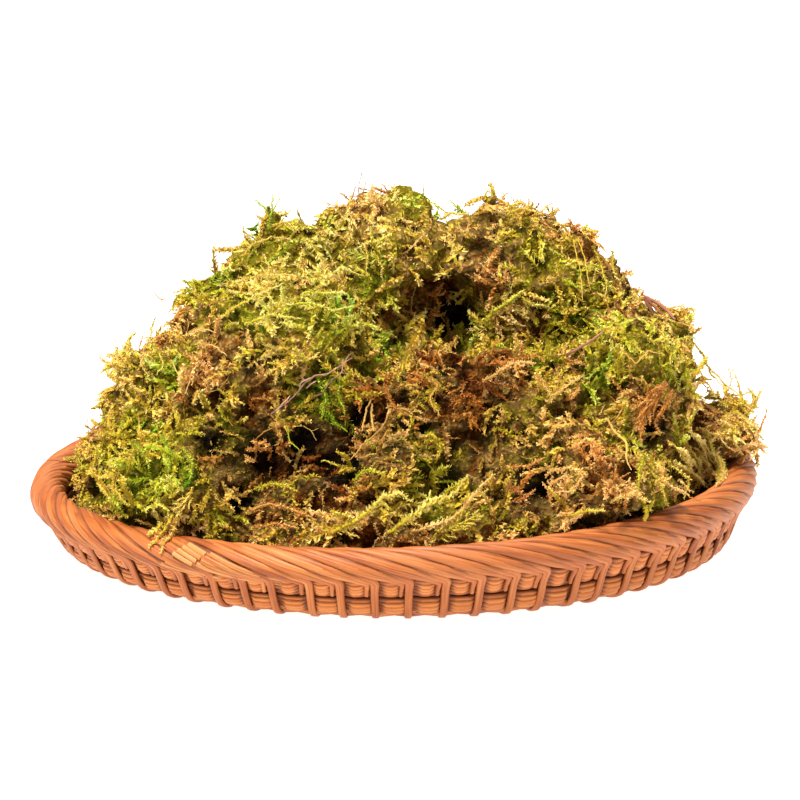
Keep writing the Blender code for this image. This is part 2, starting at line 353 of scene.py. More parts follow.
def laidCanesTree():
    tree, given = newTree("laid canes", {
        "Copies": "Int", "Canes": "Int", "Sides": "Int", "Cane Radius": "Float", "Longest": "Float",
        "Unevenness": "Float", "Loose": "Float", "Lean": "Float", "Lean Start": "Float",
        "Rim Radius": "Float", "Rim Height": "Float",
    })
    curve = addNode(tree, "GeometryNodeMeshToCurve", inputs={"Mesh": given["Geometry"]})
    station = addNode(tree, "GeometryNodeSplineParameter")
    curve = stored(tree, curve.outputs[0], "along", station.outputs["Length"])
    ring = ringProfile(tree, given, "Cane Radius")
    corner = separated(tree, addNode(tree, "GeometryNodeInputPosition").outputs[0])
    half = calc(tree, "DIVIDE", corner["Y"], given["Cane Radius"])
    ring = stored(tree, ring, "round", calc(tree, "MULTIPLY_ADD", half, 0.5, 0.5))
    cane = tube(tree, curve, ring, named(tree, "wide"))

    # Copies round the tray, each turned a little off its place
    number = addNode(tree, "GeometryNodeInputIndex").outputs[0]
    loose = between(tree, -1.0, 1.0, given["Seed"], number=number)
    angle = calc(tree, "MULTIPLY_ADD", calc(tree, "DIVIDE", number, given["Copies"]), math.tau,
                 calc(tree, "MULTIPLY", loose, given["Loose"]))
    turn = addNode(tree, "FunctionNodeAxisAngleToRotation", inputs={"Axis": (0.0, 0.0, 1.0), "Angle": angle})
    places = addNode(tree, "GeometryNodeMeshLine", inputs={
        "Count": given["Copies"], "Offset": (0.0, 0.0, 0.0),
    })
    laid = addNode(tree, "GeometryNodeInstanceOnPoints", inputs={
        "Points": places.outputs[0], "Instance": cane, "Rotation": turn.outputs[0],
    })
    laid = realized(tree, stored(tree, laid.outputs[0], "copy", number, "INT", "INSTANCE"))

    # The rim's lean, and the canes' own unevenness
    place = addNode(tree, "GeometryNodeInputPosition").outputs[0]
    x, _y, z = separated(tree, place)
    rise = mapped(tree, z, given["Lean Start"], given["Rim Height"], 0.0, given["Lean"])
    lean = calc(tree, "MULTIPLY", rise, calc(tree, "DIVIDE", x, given["Rim Radius"]))
    off = vector(tree, "ADD", wavering(tree, 70.0, given["Unevenness"], place), combined(tree, z=lean))
    laid = addNode(tree, "GeometryNodeSetPosition", inputs={"Geometry": laid, "Offset": off}).outputs[0]

    # Grain: metres along the cane, share of the way round it, and a value of the cane's own
    copy, line = named(tree, "copy", "INT"), named(tree, "cane", "INT")
    order = calc(tree, "MULTIPLY_ADD", copy, given["Canes"], line)
    own = between(tree, 0.0, 1.0, given["Seed"], number=order)
    grain = combined(tree, named(tree, "along"), named(tree, "round"), own)
    laid = stored(tree, laid, "grain", grain, "FLOAT_VECTOR")
    strip = calc(tree, "MULTIPLY_ADD", named(tree, "round"), 0.8, order)
    strip = calc(tree, "DIVIDE", strip, calc(tree, "MULTIPLY", given["Copies"], given["Canes"]))
    laid = addNode(tree, "GeometryNodeSetShadeSmooth", inputs={"Geometry": laid}).outputs[0]
    run = calc(tree, "DIVIDE", named(tree, "along"), given["Longest"])
    return endTree(tree, given, laid, combined(tree, run, strip))


# Peeled, boiled willow: a satin orange-tan skin with fine darker lines along each cane
def boiledWillow(name, colours, stain):
    made, tree, shader = newMaterial(name, {"Roughness": 0.5, "IOR": 1.5, "Specular IOR Level": 0.45})
    along, about, own = separated(tree, attributeOf(tree, "grain", "Vector"))

    def alongGrain(perMetre, perRound, detail):
        place = combined(tree, calc(tree, "MULTIPLY", along, perMetre),
                         calc(tree, "MULTIPLY", about, perRound), calc(tree, "MULTIPLY", own, 61.0))
        return noiseOf(tree, 1.0, detail, place)[0]

    # Lines 0.3 mm wide that run for about 25 mm, and blotches 15 mm long
    lines, blotches = alongGrain(40.0, 9.0, 3.0), alongGrain(65.0, 1.2, 2.0)
    shade = calc(tree, "MULTIPLY_ADD", blotches, 0.45, calc(tree, "MULTIPLY", lines, 0.55))
    skin = ramped(tree, calc(tree, "MULTIPLY_ADD", own, 0.16, shade), colours)

    # Stretches 60 mm long where the skin is greyer and pinker, and painted shade in the grooves, darker the
    # deeper a cane lies below its neighbours
    patch = noiseOf(tree, 17.0, 1.0, addNode(tree, "ShaderNodeTexCoord").outputs["Object"])[0]
    skin = mixed(tree, mapped(tree, patch, 0.50, 0.70, 0.0, 0.45), skin, linear("#C07446"))
    dusty = mapped(tree, attributeOf(tree, "deep"), 0.35, 1.9, 0.0, 0.90, "SMOOTHSTEP")
    fill(tree, shader, {
        "Base Color": mixed(tree, dusty, skin, linear(stain)),
        "Roughness": mapped(tree, lines, 0.0, 1.0, 0.42, 0.62),
        "Normal": bumped(tree, 0.35, 0.12 * mm, lines),
    })
    return made


willowColours = (
    (0.30, "#703310"), (0.45, "#9F4F20"), (0.56, "#B8652B"), (0.68, "#C87638"), (0.82, "#D38B4C"),
)
# The weaving canes' willow, painted lighter than the border's to lift the shade under the border's overhang
rowColours = (
    (0.30, "#86401A"), (0.45, "#B85E27"), (0.56, "#CE7534"), (0.68, "#DA8742"), (0.82, "#E29C5A"),
)
spliceColours = (
    (0.30, "#8E4519"), (0.45, "#B26028"), (0.56, "#C67C3E"), (0.68, "#D08A4A"), (0.82, "#DC9E5E"),
)

strand = {
    "slope": math.radians(20.0),
    "cornerAt": 19.4 * mm,          # height of the corner above the table
    "cornerRadius": 3.0 * mm,
    # one entry for each cane: beside the middle of the band, of the corner and of the stake, how far
    # out it lies on the band and on the stake, the height where it ends, and its width on the stake as
    # a share of that on the band; the bands overlap like shingles, so each one's lower edge is proud
    "canes": (
        (1.40, 2.55, 3.05, -0.70, 0.00, 10.8, 0.56),
        (0.0, 0.45, 0.45, -1.05, 0.10, 0.0, 0.62),
        (-1.40, -1.00, -0.70, -1.65, 0.10, 0.0, 0.62),
    ),
    "bandRadius": 1.75 * mm,
    "bandStep": 3.0 * mm,
    "cornerSteps": 6,
    "cornerReach": 7 * mm,          # the canes draw together over this length, then settle over the next
    "stakeReach": 5 * mm,
    "stakeStep": 1.9 * mm,
    "loose": math.radians(0.45),
}


def strandCanes():
    slope, bend = strand["slope"], strand["cornerRadius"]
    reach = bend * math.tan((math.pi / 2 - slope) / 2)
    corner = heightAlong(strand["cornerAt"])
    whole = (section[0][-1] - corner) / math.sin(slope)
    stations = []        # across, up, heading, share of the stake and of the corner
    for back in np.linspace(whole, reach, int(whole / strand["bandStep"]), endpoint=False):
        drawn = max(0.0, 1.0 - (back - reach) / strand["cornerReach"])
        stations.append((-math.cos(slope) * back, corner + math.sin(slope) * back, -slope, 0.0, drawn))
    centre = np.array((-math.cos(slope) * reach, corner + math.sin(slope) * reach))
    centre += bend * np.array((-math.sin(slope), -math.cos(slope)))
    for angle in np.linspace(-slope, -math.pi / 2, strand["cornerSteps"] + 1):
        stations.append((*(centre - bend * np.array((math.sin(angle), -math.cos(angle)))), angle, 0.0, 1.0))
    down = corner - reach
    for up in np.linspace(down, 0.0, int(down / strand["stakeStep"]))[1:]:
        stations.append((0.0, up, -math.pi / 2, min(1.0, (down - up) / strand["stakeReach"]), 1.0))
    middle, height, heading, onStake, onCorner = np.array(stations).T
    onStake, onCorner = smoothStep(0, 1, onStake), smoothStep(0, 1, onCorner)
    lines, widths = [], []
    for beside, atCorner, besideStake, lift, liftStake, end, narrow in strand["canes"]:
        off = (beside + (atCorner - beside) * onCorner + (besideStake - atCorner) * onStake) * mm
        drawnIn = np.maximum(0.75 * onCorner, onStake)
        out = (lift + (liftStake - lift) * drawnIn) * mm
        across = middle + off * np.sin(heading)
        up = height - off * np.cos(heading)
        keep = up > (heightAlong(end * mm) if end else -1.0)
        lines.append(onTray(across[keep], up[keep], out[keep]))
        widths.append((1.0 + (narrow - 1.0) * drawnIn)[keep])
    return lines, widths


row = {
    # heights of the canes above the table, and where each row stands out between the stakes, as a
    # share of the way from one stake to the next
    "lower": ((3.4, 5.0, 6.5, 8.0, 9.4), (0.20, 0.31, 0.74, 0.86)),
    "upper": ((12.1, 13.5, 14.9, 16.2, 17.4), (0.20, 0.31, 0.57, 0.69)),
    "caneRadius": 1.15 * mm,
    "behind": 1.9 * mm,
    "proud": 0.05 * mm,
    "crown": 0.55,
    "samples": (0.0, 0.14, 0.24, 0.36, 0.5, 0.64, 0.76, 0.88),
    # the inner turns of the weaving canes, which close the wall behind the stakes
    "innerHeights": (3.2, 5.4, 7.6, 9.8, 12.0, 14.2, 16.4, 18.6, 20.8),
    "innerRadius": 1.3 * mm,
    "inside": 3.3 * mm,
    "sway": 0.5 * mm,
}


def rowCanes(which):
    heights, (rise, top, fall, low) = row[which]
    shares = np.array([n + s for n in range(tray["stakes"]) for s in row["samples"]])
    bulge = np.interp(shares % 1.0, (rise, top, fall, low), (0.0, 1.0, 1.0, 0.0))
    lines = []
    for number, height in enumerate(heights):
        crown = 1.0 - row["crown"] * (number / (len(heights) - 1) * 2 - 1) ** 2
        out = -row["behind"] + (row["behind"] + row["proud"]) * bulge * crown
        up = np.full(len(shares), heightAlong(height * mm))
        lines.append(onTray(shares * pitch, up, out))
    return lines


def innerTurns():
    across = np.arange(2 * tray["stakes"]) * pitch / 2
    sway = row["sway"] * np.cos(math.tau * across / (2 * pitch))
    return [
        onTray(across, np.full(len(across), heightAlong(height * mm)), sway * (-1) ** number - row["inside"])
        for number, height in enumerate(row["innerHeights"])
    ]


# New canes pushed in beside the ends of old ones, with their ends cut straight across
splice = {
    # degrees round the tray, height along the section above the corner, length of the first cane of
    # each group, how far each start lies behind the one above, its canes, and the lifts at both ends
    "groups": (
        (-123.0, 12.0, 9.5, 1.3, 4, 0.30, 0.30),
        (-118.6, 9.2, 34.0, 1.3, 4, 0.20, -1.2),
        (-126.6, 4.2, 30.0, 2.0, 2, 0.20, -1.2),
    ),
    "spacing": 1.5 * mm,
    "caneRadius": 1.12 * mm,
    "step": 3.0 * mm,
}


def spliceCanes():
    lines = []
    slope = strand["slope"]
    corner = heightAlong(strand["cornerAt"])
    for degrees, above, length, back, canes, lift, liftEnd in splice["groups"]:
        for number in range(canes):
            run = np.linspace(0.0, length * mm, int(length * mm / splice["step"]) + 1)
            down = number * splice["spacing"]
            across = math.radians(degrees) * tray["borderRadius"] - number * back * mm
            across = across + run * math.cos(slope) - down * math.sin(slope)
            up = corner + above * mm - run * math.sin(slope) - down * math.cos(slope)
            sink = np.linspace(0.0, 1.0, len(run)) ** 2
            lines.append(onTray(across, up, (lift + (liftEnd - lift) * sink) * mm))
    return lines


# The round mat that everything lies on; its last turns climb to the foot of the wall
base = {
    "spokes": 33,
    "spokeRadius": 1.2 * mm,
    "firstTurn": 8.0,
    "lastTurn": 136.0,
    "turnSpacing": 2.9,
    "turnRadius": 1.65 * mm,
    "height": 2.45 * mm,
    "weave": 0.7 * mm,
    "climbsFrom": 129.0,
    "climb": 0.30,                  # rise for each millimetre outward
}


def climbing(radius):
    return base["height"] + base["climb"] * np.maximum(0.0, radius - base["climbsFrom"]) * mm


def baseSpokes():
    reach = np.array((base["firstTurn"], base["climbsFrom"], base["lastTurn"]))
    angles = np.arange(base["spokes"]) * math.tau / base["spokes"]
    return [roundAt(angle, reach * mm, climbing(reach)) for angle in angles]


def baseTurns():
    lines = []
    angle = np.arange(4 * base["spokes"]) * math.tau / (4 * base["spokes"])
    for number, radius in enumerate(np.arange(base["firstTurn"], base["lastTurn"], base["turnSpacing"])):
        height = climbing(radius) + base["weave"] * np.cos(base["spokes"] * angle + math.pi * (number % 2))
        lines.append(roundAt(angle, radius * mm, height))
    return lines


canesTree = laidCanesTree()


def layCanes(name, lines, closed, finish, radius, widths=None, **values):
    longest = max(float(np.linalg.norm(np.diff(line, axis=0), axis=1).sum()) for line in lines)
    source = lineMesh(name, lines, closed, cane=range(len(lines)), wide=widths or [1.0] * len(lines))
    return grow(name, source, canesTree, {
        "Unevenness": 0.5 * mm, "Lean": tray["lean"], "Lean Start": tray["leanStart"],
        "Rim Radius": tray["borderRadius"], "Rim Height": tray["borderHeight"],
        "Copies": 1, "Canes": len(lines), "Sides": 6, "Loose": 0.0, "Cane Radius": radius,
        "Longest": longest, "Seed": 3, "Finish": finish, **values,
    })


# The last colour of each is the painted shade in its grooves
borderWillow = boiledWillow("boiled willow, border", willowColours, "#34140A")
rowWillow = boiledWillow("boiled willow, weaving canes", rowColours, "#7A3C1C")
spliceWillow = boiledWillow("boiled willow, fresh ends", spliceColours, "#4A1E0C")
baseWillow = boiledWillow("boiled willow, base", willowColours, "#34140A")

# Grooves, for the painted shade on the willow: how far each point of a cane lies below the canes about it,
# in millimetres
groove = {"cell": 0.7 * mm, "reach": 3}


def markGrooves(pieces):
    length, points, ahead = section
    found = []
    for piece in pieces:
        places = pointsOf(piece.data)
        radius, angle = np.hypot(places[:, 0], places[:, 1]), np.arctan2(places[:, 1], places[:, 0])
        rise = np.clip((places[:, 2] - tray["leanStart"]) / (tray["borderHeight"] - tray["leanStart"]), 0, 1)
        height = places[:, 2] - rise * tray["lean"] * places[:, 0] / tray["borderRadius"]
        across = np.stack((radius, height), axis=1)[:, None] - points[None]
        nearest = np.argmin((across ** 2).sum(axis=2), axis=1)
        off = across[np.arange(len(places)), nearest]
        lift = off[:, 0] * ahead[nearest, 1] - off[:, 1] * ahead[nearest, 0]
        column = (angle * tray["borderRadius"] / groove["cell"]).astype(int)
        line = (length[nearest] / groove["cell"]).astype(int)
        found.append((column, line, lift))
    columns, rows, lifts = (np.concatenate(part) for part in zip(*found))
    first = columns.min()
    top = np.full((columns.max() - first + 1, rows.max() + 1), -1.0)
    np.maximum.at(top, (columns - first, rows), lifts)
    for axis in (0, 1):
        shifts = range(-groove["reach"], groove["reach"] + 1)
        top = np.max([np.roll(top, shift, axis=axis) for shift in shifts], axis=0)
    for piece, (column, line, lift) in zip(pieces, found):
        putValues(piece.data, {"deep": np.clip((top[column - first, line] - lift) / mm, 0.0, 4.0)})


strandLines, strandWidths = strandCanes()
strands = layCanes("border_strands", strandLines, False, borderWillow, strand["bandRadius"], strandWidths,
                   Copies=tray["stakes"], Loose=strand["loose"])
cutEnds = layCanes("cut_cane_ends", spliceCanes(), False, spliceWillow, splice["caneRadius"],
                   Unevenness=0.2 * mm)
upperRow = layCanes("upper_row", rowCanes("upper"), True, rowWillow, row["caneRadius"], Seed=5)
lowerRow = layCanes("lower_row", rowCanes("lower"), True, rowWillow, row["caneRadius"], Seed=5)
inner = layCanes("inner_turns", innerTurns(), True, rowWillow, row["innerRadius"], Seed=5)
markGrooves([strands, cutEnds, upperRow, lowerRow, inner])
spokes = layCanes("base_spokes", baseSpokes(), False, baseWillow, base["spokeRadius"], Lean=0.0)
rounds = layCanes("base_rounds", baseTurns(), True, baseWillow, base["turnRadius"], Lean=0.0, Sides=4)
for piece, slotName, node in (
    (strands, "border_cane", "border_and_stakes"), (cutEnds, "border_cane", "border_and_stakes"),
    (upperRow, "weaver_cane", "upper_weaver"), (lowerRow, "weaver_cane", "lower_weaver"),
    (inner, "weaver_cane", "upper_weaver"), (spokes, "base_cane", "woven_base"),
    (rounds, "base_cane", "woven_base"),
):
    finishPiece(piece, slotName, node)
print("tray done")


# The heap: a dark matted body, and loose shoots all over it
def spots(*rows, lengths=3):
    return [(*[value / 1000 for value in spot[:lengths]], *spot[lengths:]) for spot in rows]


heap = {
    "voxel": 2.15 * mm,
    "firstVoxel": 1.3,
    "inset": 2.6 * mm,
    "hank": 21 * mm,
    "bendSize": 11 * mm,
    "bend": 0.22,
    "flowSize": 20 * mm,
    "holeSize": 8 * mm,
    "crease": 8.0 * mm,
    "steps": 4.5 * mm,
    "holes": 6.0 * mm,
    "roughness": 2.6 * mm,
    "lowest": 4.2 * mm,
    # Each row below starts with right, up and radius in millimetres, as the front view shows it.
    # Deep gaps between the clods, with their depth
    "gaps": spots(
        (23, 42, 10, 12), (-56, 23, 5, 10), (-78, -6, 5, 9), (-53, -14, 9, 10), (-21, -19, 9, 11),
        (-14, 2, 6, 9), (56, -25, 9, 11), (20, 20, 4, 8), (-35, -10, 8, 10), (20, -24, 7, 9),
        (105, -3, 6, 8), (-60, -31, 6, 8), (-70, -9, 6, 8),
        lengths=4,
    ),
    # Thin places that keep their outline
    "kept": spots(
        (110, 42, 20), (130, 22, 18), (143, 2, 20), (-128, -10, 18), (-20, 88, 12), (-117, 14, 14),
        (-80, 56, 14), (-50, 74, 14),
    ),
    # Broad swellings of the form
    "swollen": spots((-39, 56, 36), (0, 80, 28), (45, 82, 30), (85, 60, 22)),
    # Where it is lit (above 0) or shaded, with the strength
    "lit": spots(
        (-39, 56, 36, 1), (0, 80, 28, 0.7), (45, 82, 30, 0.6), (85, 60, 22, 0.5), (138, -4, 18, 0.8),
        (10, -40, 24, 0.7), (-86, 26, 26, 0.5), (-100, -30, 22, 0.5), (-26, -14, 26, -1.3),
        (10, -8, 26, -1), (45, -12, 24, -0.7), (-60, -10, 20, -0.6), (20, 40, 20, -1), (85, 15, 20, 0.4),
        (20, -48, 16, 0.6), (-35, -48, 16, 0.6), (64, -40, 18, 0.5), (-45, 66, 26, 0.5),
        (131, -14, 12, 1.2), (52, 43, 10, 1.2), (26, 57, 9, 1.2), (1, -39, 10, 0.8), (49, 1, 9, 1.1),
        (64, -16, 8, 0.9), (8, 31, 8, 1), (-77, 6, 8, 0.8), (-3, 87, 12, 0.9), (116, 42, 10, 0.6),
        (-28, -12, 14, -1.2), (-73, -19, 12, -0.9), (-100, -17, 10, -0.8), (64, 27, 12, -0.8),
        (22, -24, 9, -0.9), (116, -24, 8, -0.9), (-53, -10, 10, -1), (-18, -33, 10, 0.9),
        (-106, -32, 10, -0.8), (-85, -40, 8, 0.8), (33, 0, 9, -0.8), (7, 38, 8, 1), (-103, 20, 12, 0.8),
        (71, 34, 10, -0.6), (101, 13, 8, -0.6), (51, 48, 9, 1), (41, 38, 7, 0.9), (-33, 72, 9, 0.8),
        (-85, -43, 8, 0.8), (93, 57, 9, 0.7), (115, 34, 9, 0.7), (-77, 54, 10, -0.8), (49, 5, 8, -0.9),
        (-44, -10, 9, -0.8), (37, 1, 10, -0.8), (-100, -24, 10, -0.7), (-18, -24, 8, -0.7),
        (131, -20, 12, 0.7), (30, 18, 12, 0.6), (-12, -46, 8, 0.7), (-84, -38, 6, 0.6),
    ),
    # Where more of it is dead and rusty, with the strength
    "rusty": spots(
        (20, -10, 42, 0.1), (66, -34, 30, 0.08), (-45, -22, 24, 0.07),
    ),
    # Patches of one colour, with their place on the moss colours
    "patches": spots(
        (-26, 8, 12, 0.86), (77, 40, 11, 0.86), (-93, -25, 16, 0.8), (-77, 20, 9, 0.38),
        (-54, 8, 8, 0.12), (-48, -20, 6, 0.28), (-45, -36, 16, 0.4), (-10, -5, 10, 0.42),
        (19, -35, 16, 0.74), (54, -32, 7, 0.27), (68, -25, 8, 0.5), (45, -13, 18, 0.5),
        (84, -33, 16, 0.42), (141, -5, 10, 0.58), (107, 4, 10, 0.24), (43, 81, 10, 0.44),
        (-30, 52, 24, 0.78), (-34, 69, 24, 0.68), (19, 77, 16, 0.52), (60, 73, 16, 0.68),
        (121, 24, 16, 0.66), (-120, -13, 12, 0.6), (-112, 12, 8, 0.46), (-5, 44, 6, 0.3),
    ),
}


def heapForm():
    form = bmesh.new()
    form.from_mesh(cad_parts["moss_clump"].data)
    bmesh.ops.remove_doubles(form, verts=form.verts, dist=0.01 * mm)
    mesh = bpy.data.meshes.new("matted_moss")
    form.to_mesh(mesh)
    form.free()
    return mesh


def remeshed(obj, voxel):
    modifier = obj.modifiers.new("even faces", "REMESH")
    modifier.mode = "VOXEL"
    modifier.voxel_size = voxel
    return settle(obj)


# Normals of a mesh of quads, summed in the order of its faces, so that every run gives the same
def softNormals(mesh, rounds):
    places = pointsOf(mesh)
    quads = np.empty(len(mesh.polygons) * 4, dtype=np.int32)
    mesh.polygons.foreach_get("vertices", quads)
    a, b, c, d = quads.reshape(-1, 4).T
    facing = np.cross(places[c] - places[a], places[d] - places[b])
    normals = np.zeros_like(places)
    for corner in (a, b, c, d):
        np.add.at(normals, corner, facing)
    normals /= np.maximum(np.linalg.norm(normals, axis=1, keepdims=True), 1e-12)
    ends = np.roll(quads.reshape(-1, 4), -1, axis=1).ravel()
    for _ in range(rounds):
        total = normals.copy()
        np.add.at(total, quads, normals[ends])
        normals = total / np.maximum(np.linalg.norm(total, axis=1, keepdims=True), 1e-9)
    return normals


def moveTo(mesh, places):
    mesh.vertices.foreach_set("co", places.ravel())
    mesh.update()


# Perlin noise at points, for bumps of a given size
def bumps(places, size, shift=0.0):
    return np.array([noise.noise(Vector(place) / size + Vector((shift, shift, shift))) for place in places])


lookDown, seenFrom = math.radians(12.8), 0.050


# Right and up of each point as the front view shows it, and how much it faces that view
def fromFront(places, normals):
    up = (places[:, 2] - seenFrom) * math.cos(lookDown) + places[:, 1] * math.sin(lookDown)
    facing = -normals[:, 1] * math.cos(lookDown) + normals[:, 2] * math.sin(lookDown)
    waver = 4.5 * mm
    right = places[:, 0] + waver * bumps(places, 9 * mm, 31.0)
    return right, up + waver * bumps(places, 9 * mm, 37.0), np.clip(facing * 3 + 0.4, 0, 1)


def near(right, up, spot):
    return np.exp(-((right - spot[0]) ** 2 + (up - spot[1]) ** 2) / spot[2] ** 2)


def litAt(right, up):
    return np.clip(sum(spot[3] * near(right, up, spot) for spot in heap["lit"]), -1.6, 1.8)


# Hanks pulled from a mat: how far each point is from its hank's edge, and three chance values of that hank
def hanks(places):
    edge, chance = [], []
    for place in places:
        bent = noise.noise_vector(Vector(place) / heap["bendSize"]) * heap["bend"]
        bent = Vector(place) / heap["hank"] + bent
        away, middles = noise.voronoi(bent)
        edge.append(away[1] - away[0])
        chance.append(noise.cell_vector(middles[0] * 7.3))
    return np.array(edge), np.array(chance)


def holesAt(places, low, high):
    return smoothStep(low, high, bumps(places, heap["holeSize"], 21.0))


# The heap's solid, drawn in between its hanks and at its gaps, then roughened, and its points
def mattedForm():
    obj = remeshed(newObject("matted_moss", heapForm()), heap["voxel"] * heap["firstVoxel"])
    places = pointsOf(obj.data)
    normals = softNormals(obj.data, 6)
    right, up, facing = fromFront(places, normals)
    edge, chance = hanks(places)
    depth = heap["inset"] + heap["crease"] * smoothStep(0.26, 0.0, edge) + heap["steps"] * chance[:, 0]
    depth += heap["holes"] * holesAt(places, 0.22, 0.40)
    # Shallow at the foot, where the moss fills the tray
    depth *= 0.35 + 0.65 * smoothStep(14 * mm, 28 * mm, places[:, 2])
    for spot in heap["kept"]:
        depth *= 1 - 0.75 * np.clip(1.4 * near(right, up, spot), 0, 1)
    for spot in heap["swollen"]:
        depth *= 1 - 0.35 * near(right, up, spot) * facing
    for gap in heap["gaps"]:
        depth += 1.4 * gap[3] * near(right, up, gap) * facing
    moveTo(obj.data, places - normals * depth[:, None])
    obj = remeshed(obj, heap["voxel"])
    places = pointsOf(obj.data)
    rough = bumps(places, 6.5 * mm) + 0.8 * bumps(places, 3.4 * mm, 7.0)
    places += softNormals(obj.data, 2) * (rough * heap["roughness"])[:, None]
    places[:, 2] = np.maximum(places[:, 2], heap["lowest"])
    moveTo(obj.data, places)
    return obj, places


# The same with its colours, its light and shade, and where each kind of shoot grows on it
def mattedMoss():
    obj, places = mattedForm()
    normals = softNormals(obj.data, 3)
    right, up, facing = fromFront(places, normals)
    edge, chance = hanks(places)
    # Colour drifts over 34 mm and over 12 mm, and from hank to hank
    tone = 0.55 + 0.30 * bumps(places, 34 * mm, 3.0) + 0.30 * bumps(places, 12 * mm, 5.0)
    tone += 0.22 * (chance[:, 1] - 0.5)
    for spot in heap["rusty"]:
        tone -= spot[3] * near(right, up, spot) * facing
    for patch in heap["patches"]:
        tone += (patch[3] - tone) * (0.85 * near(right, up, patch) * facing)
    growing = 0.25 + 0.75 * smoothStep(0.02, 0.20, edge)
    shade = 0.40 + 0.60 * smoothStep(0.0, 0.12, edge)
    shade *= 1 - 0.70 * holesAt(places, 0.22, 0.36)
    lit = litAt(right, up) * facing
    shade = np.clip(shade * (1 + 0.35 * lit), 0, 1.2)
    for gap in heap["gaps"]:
        growing -= 0.7 * near(right, up, gap) * facing
        shade *= 1 - 0.90 * smoothStep(0.15, 0.70, near(right, up, gap)) * facing
    # Nothing grows inside the wall or on the underside
    above = smoothStep(17 * mm, 23 * mm, places[:, 2]) * smoothStep(-0.70, -0.30, normals[:, 2])
    growing = np.clip(growing, 0, 1) * above
    # The shoots' lie wanders over 20 mm, differs from hank to hank, and leads outward and down
    flow = np.array([noise.noise_vector(Vector(place) / heap["flowSize"]) for place in places])
    flow += (chance - 0.5) * 1.6
    flow += np.stack((places[:, 0], places[:, 1], np.full(len(places), -0.06)), axis=1) * 2.5
    tone = np.clip(tone, 0.02, 1.0)
    feathery = np.clip(0.5 + bumps(places, 15 * mm, 9.0) * 2, 0.1, 1)
    putValues(obj.data, {
        "open": growing,
        "curlShare": growing * np.clip(0.12 + smoothStep(0.60, 0.35, tone), 0, 1),
        "needleShare": growing * np.clip(0.06 + smoothStep(0.80, 0.93, tone), 0, 1),
        "leafShare": growing * np.clip(0.35 + 0.65 * smoothStep(0.30, 0.55, tone), 0, 1),
        "frondShare": growing * smoothStep(0.50, 0.66, tone) * feathery,
        "tone": tone,
        "shade": shade,
        "lit": lit,
    })
    obj.data.attributes.new("flow", "FLOAT_VECTOR", "POINT").data.foreach_set("vector", flow.ravel())
    return obj


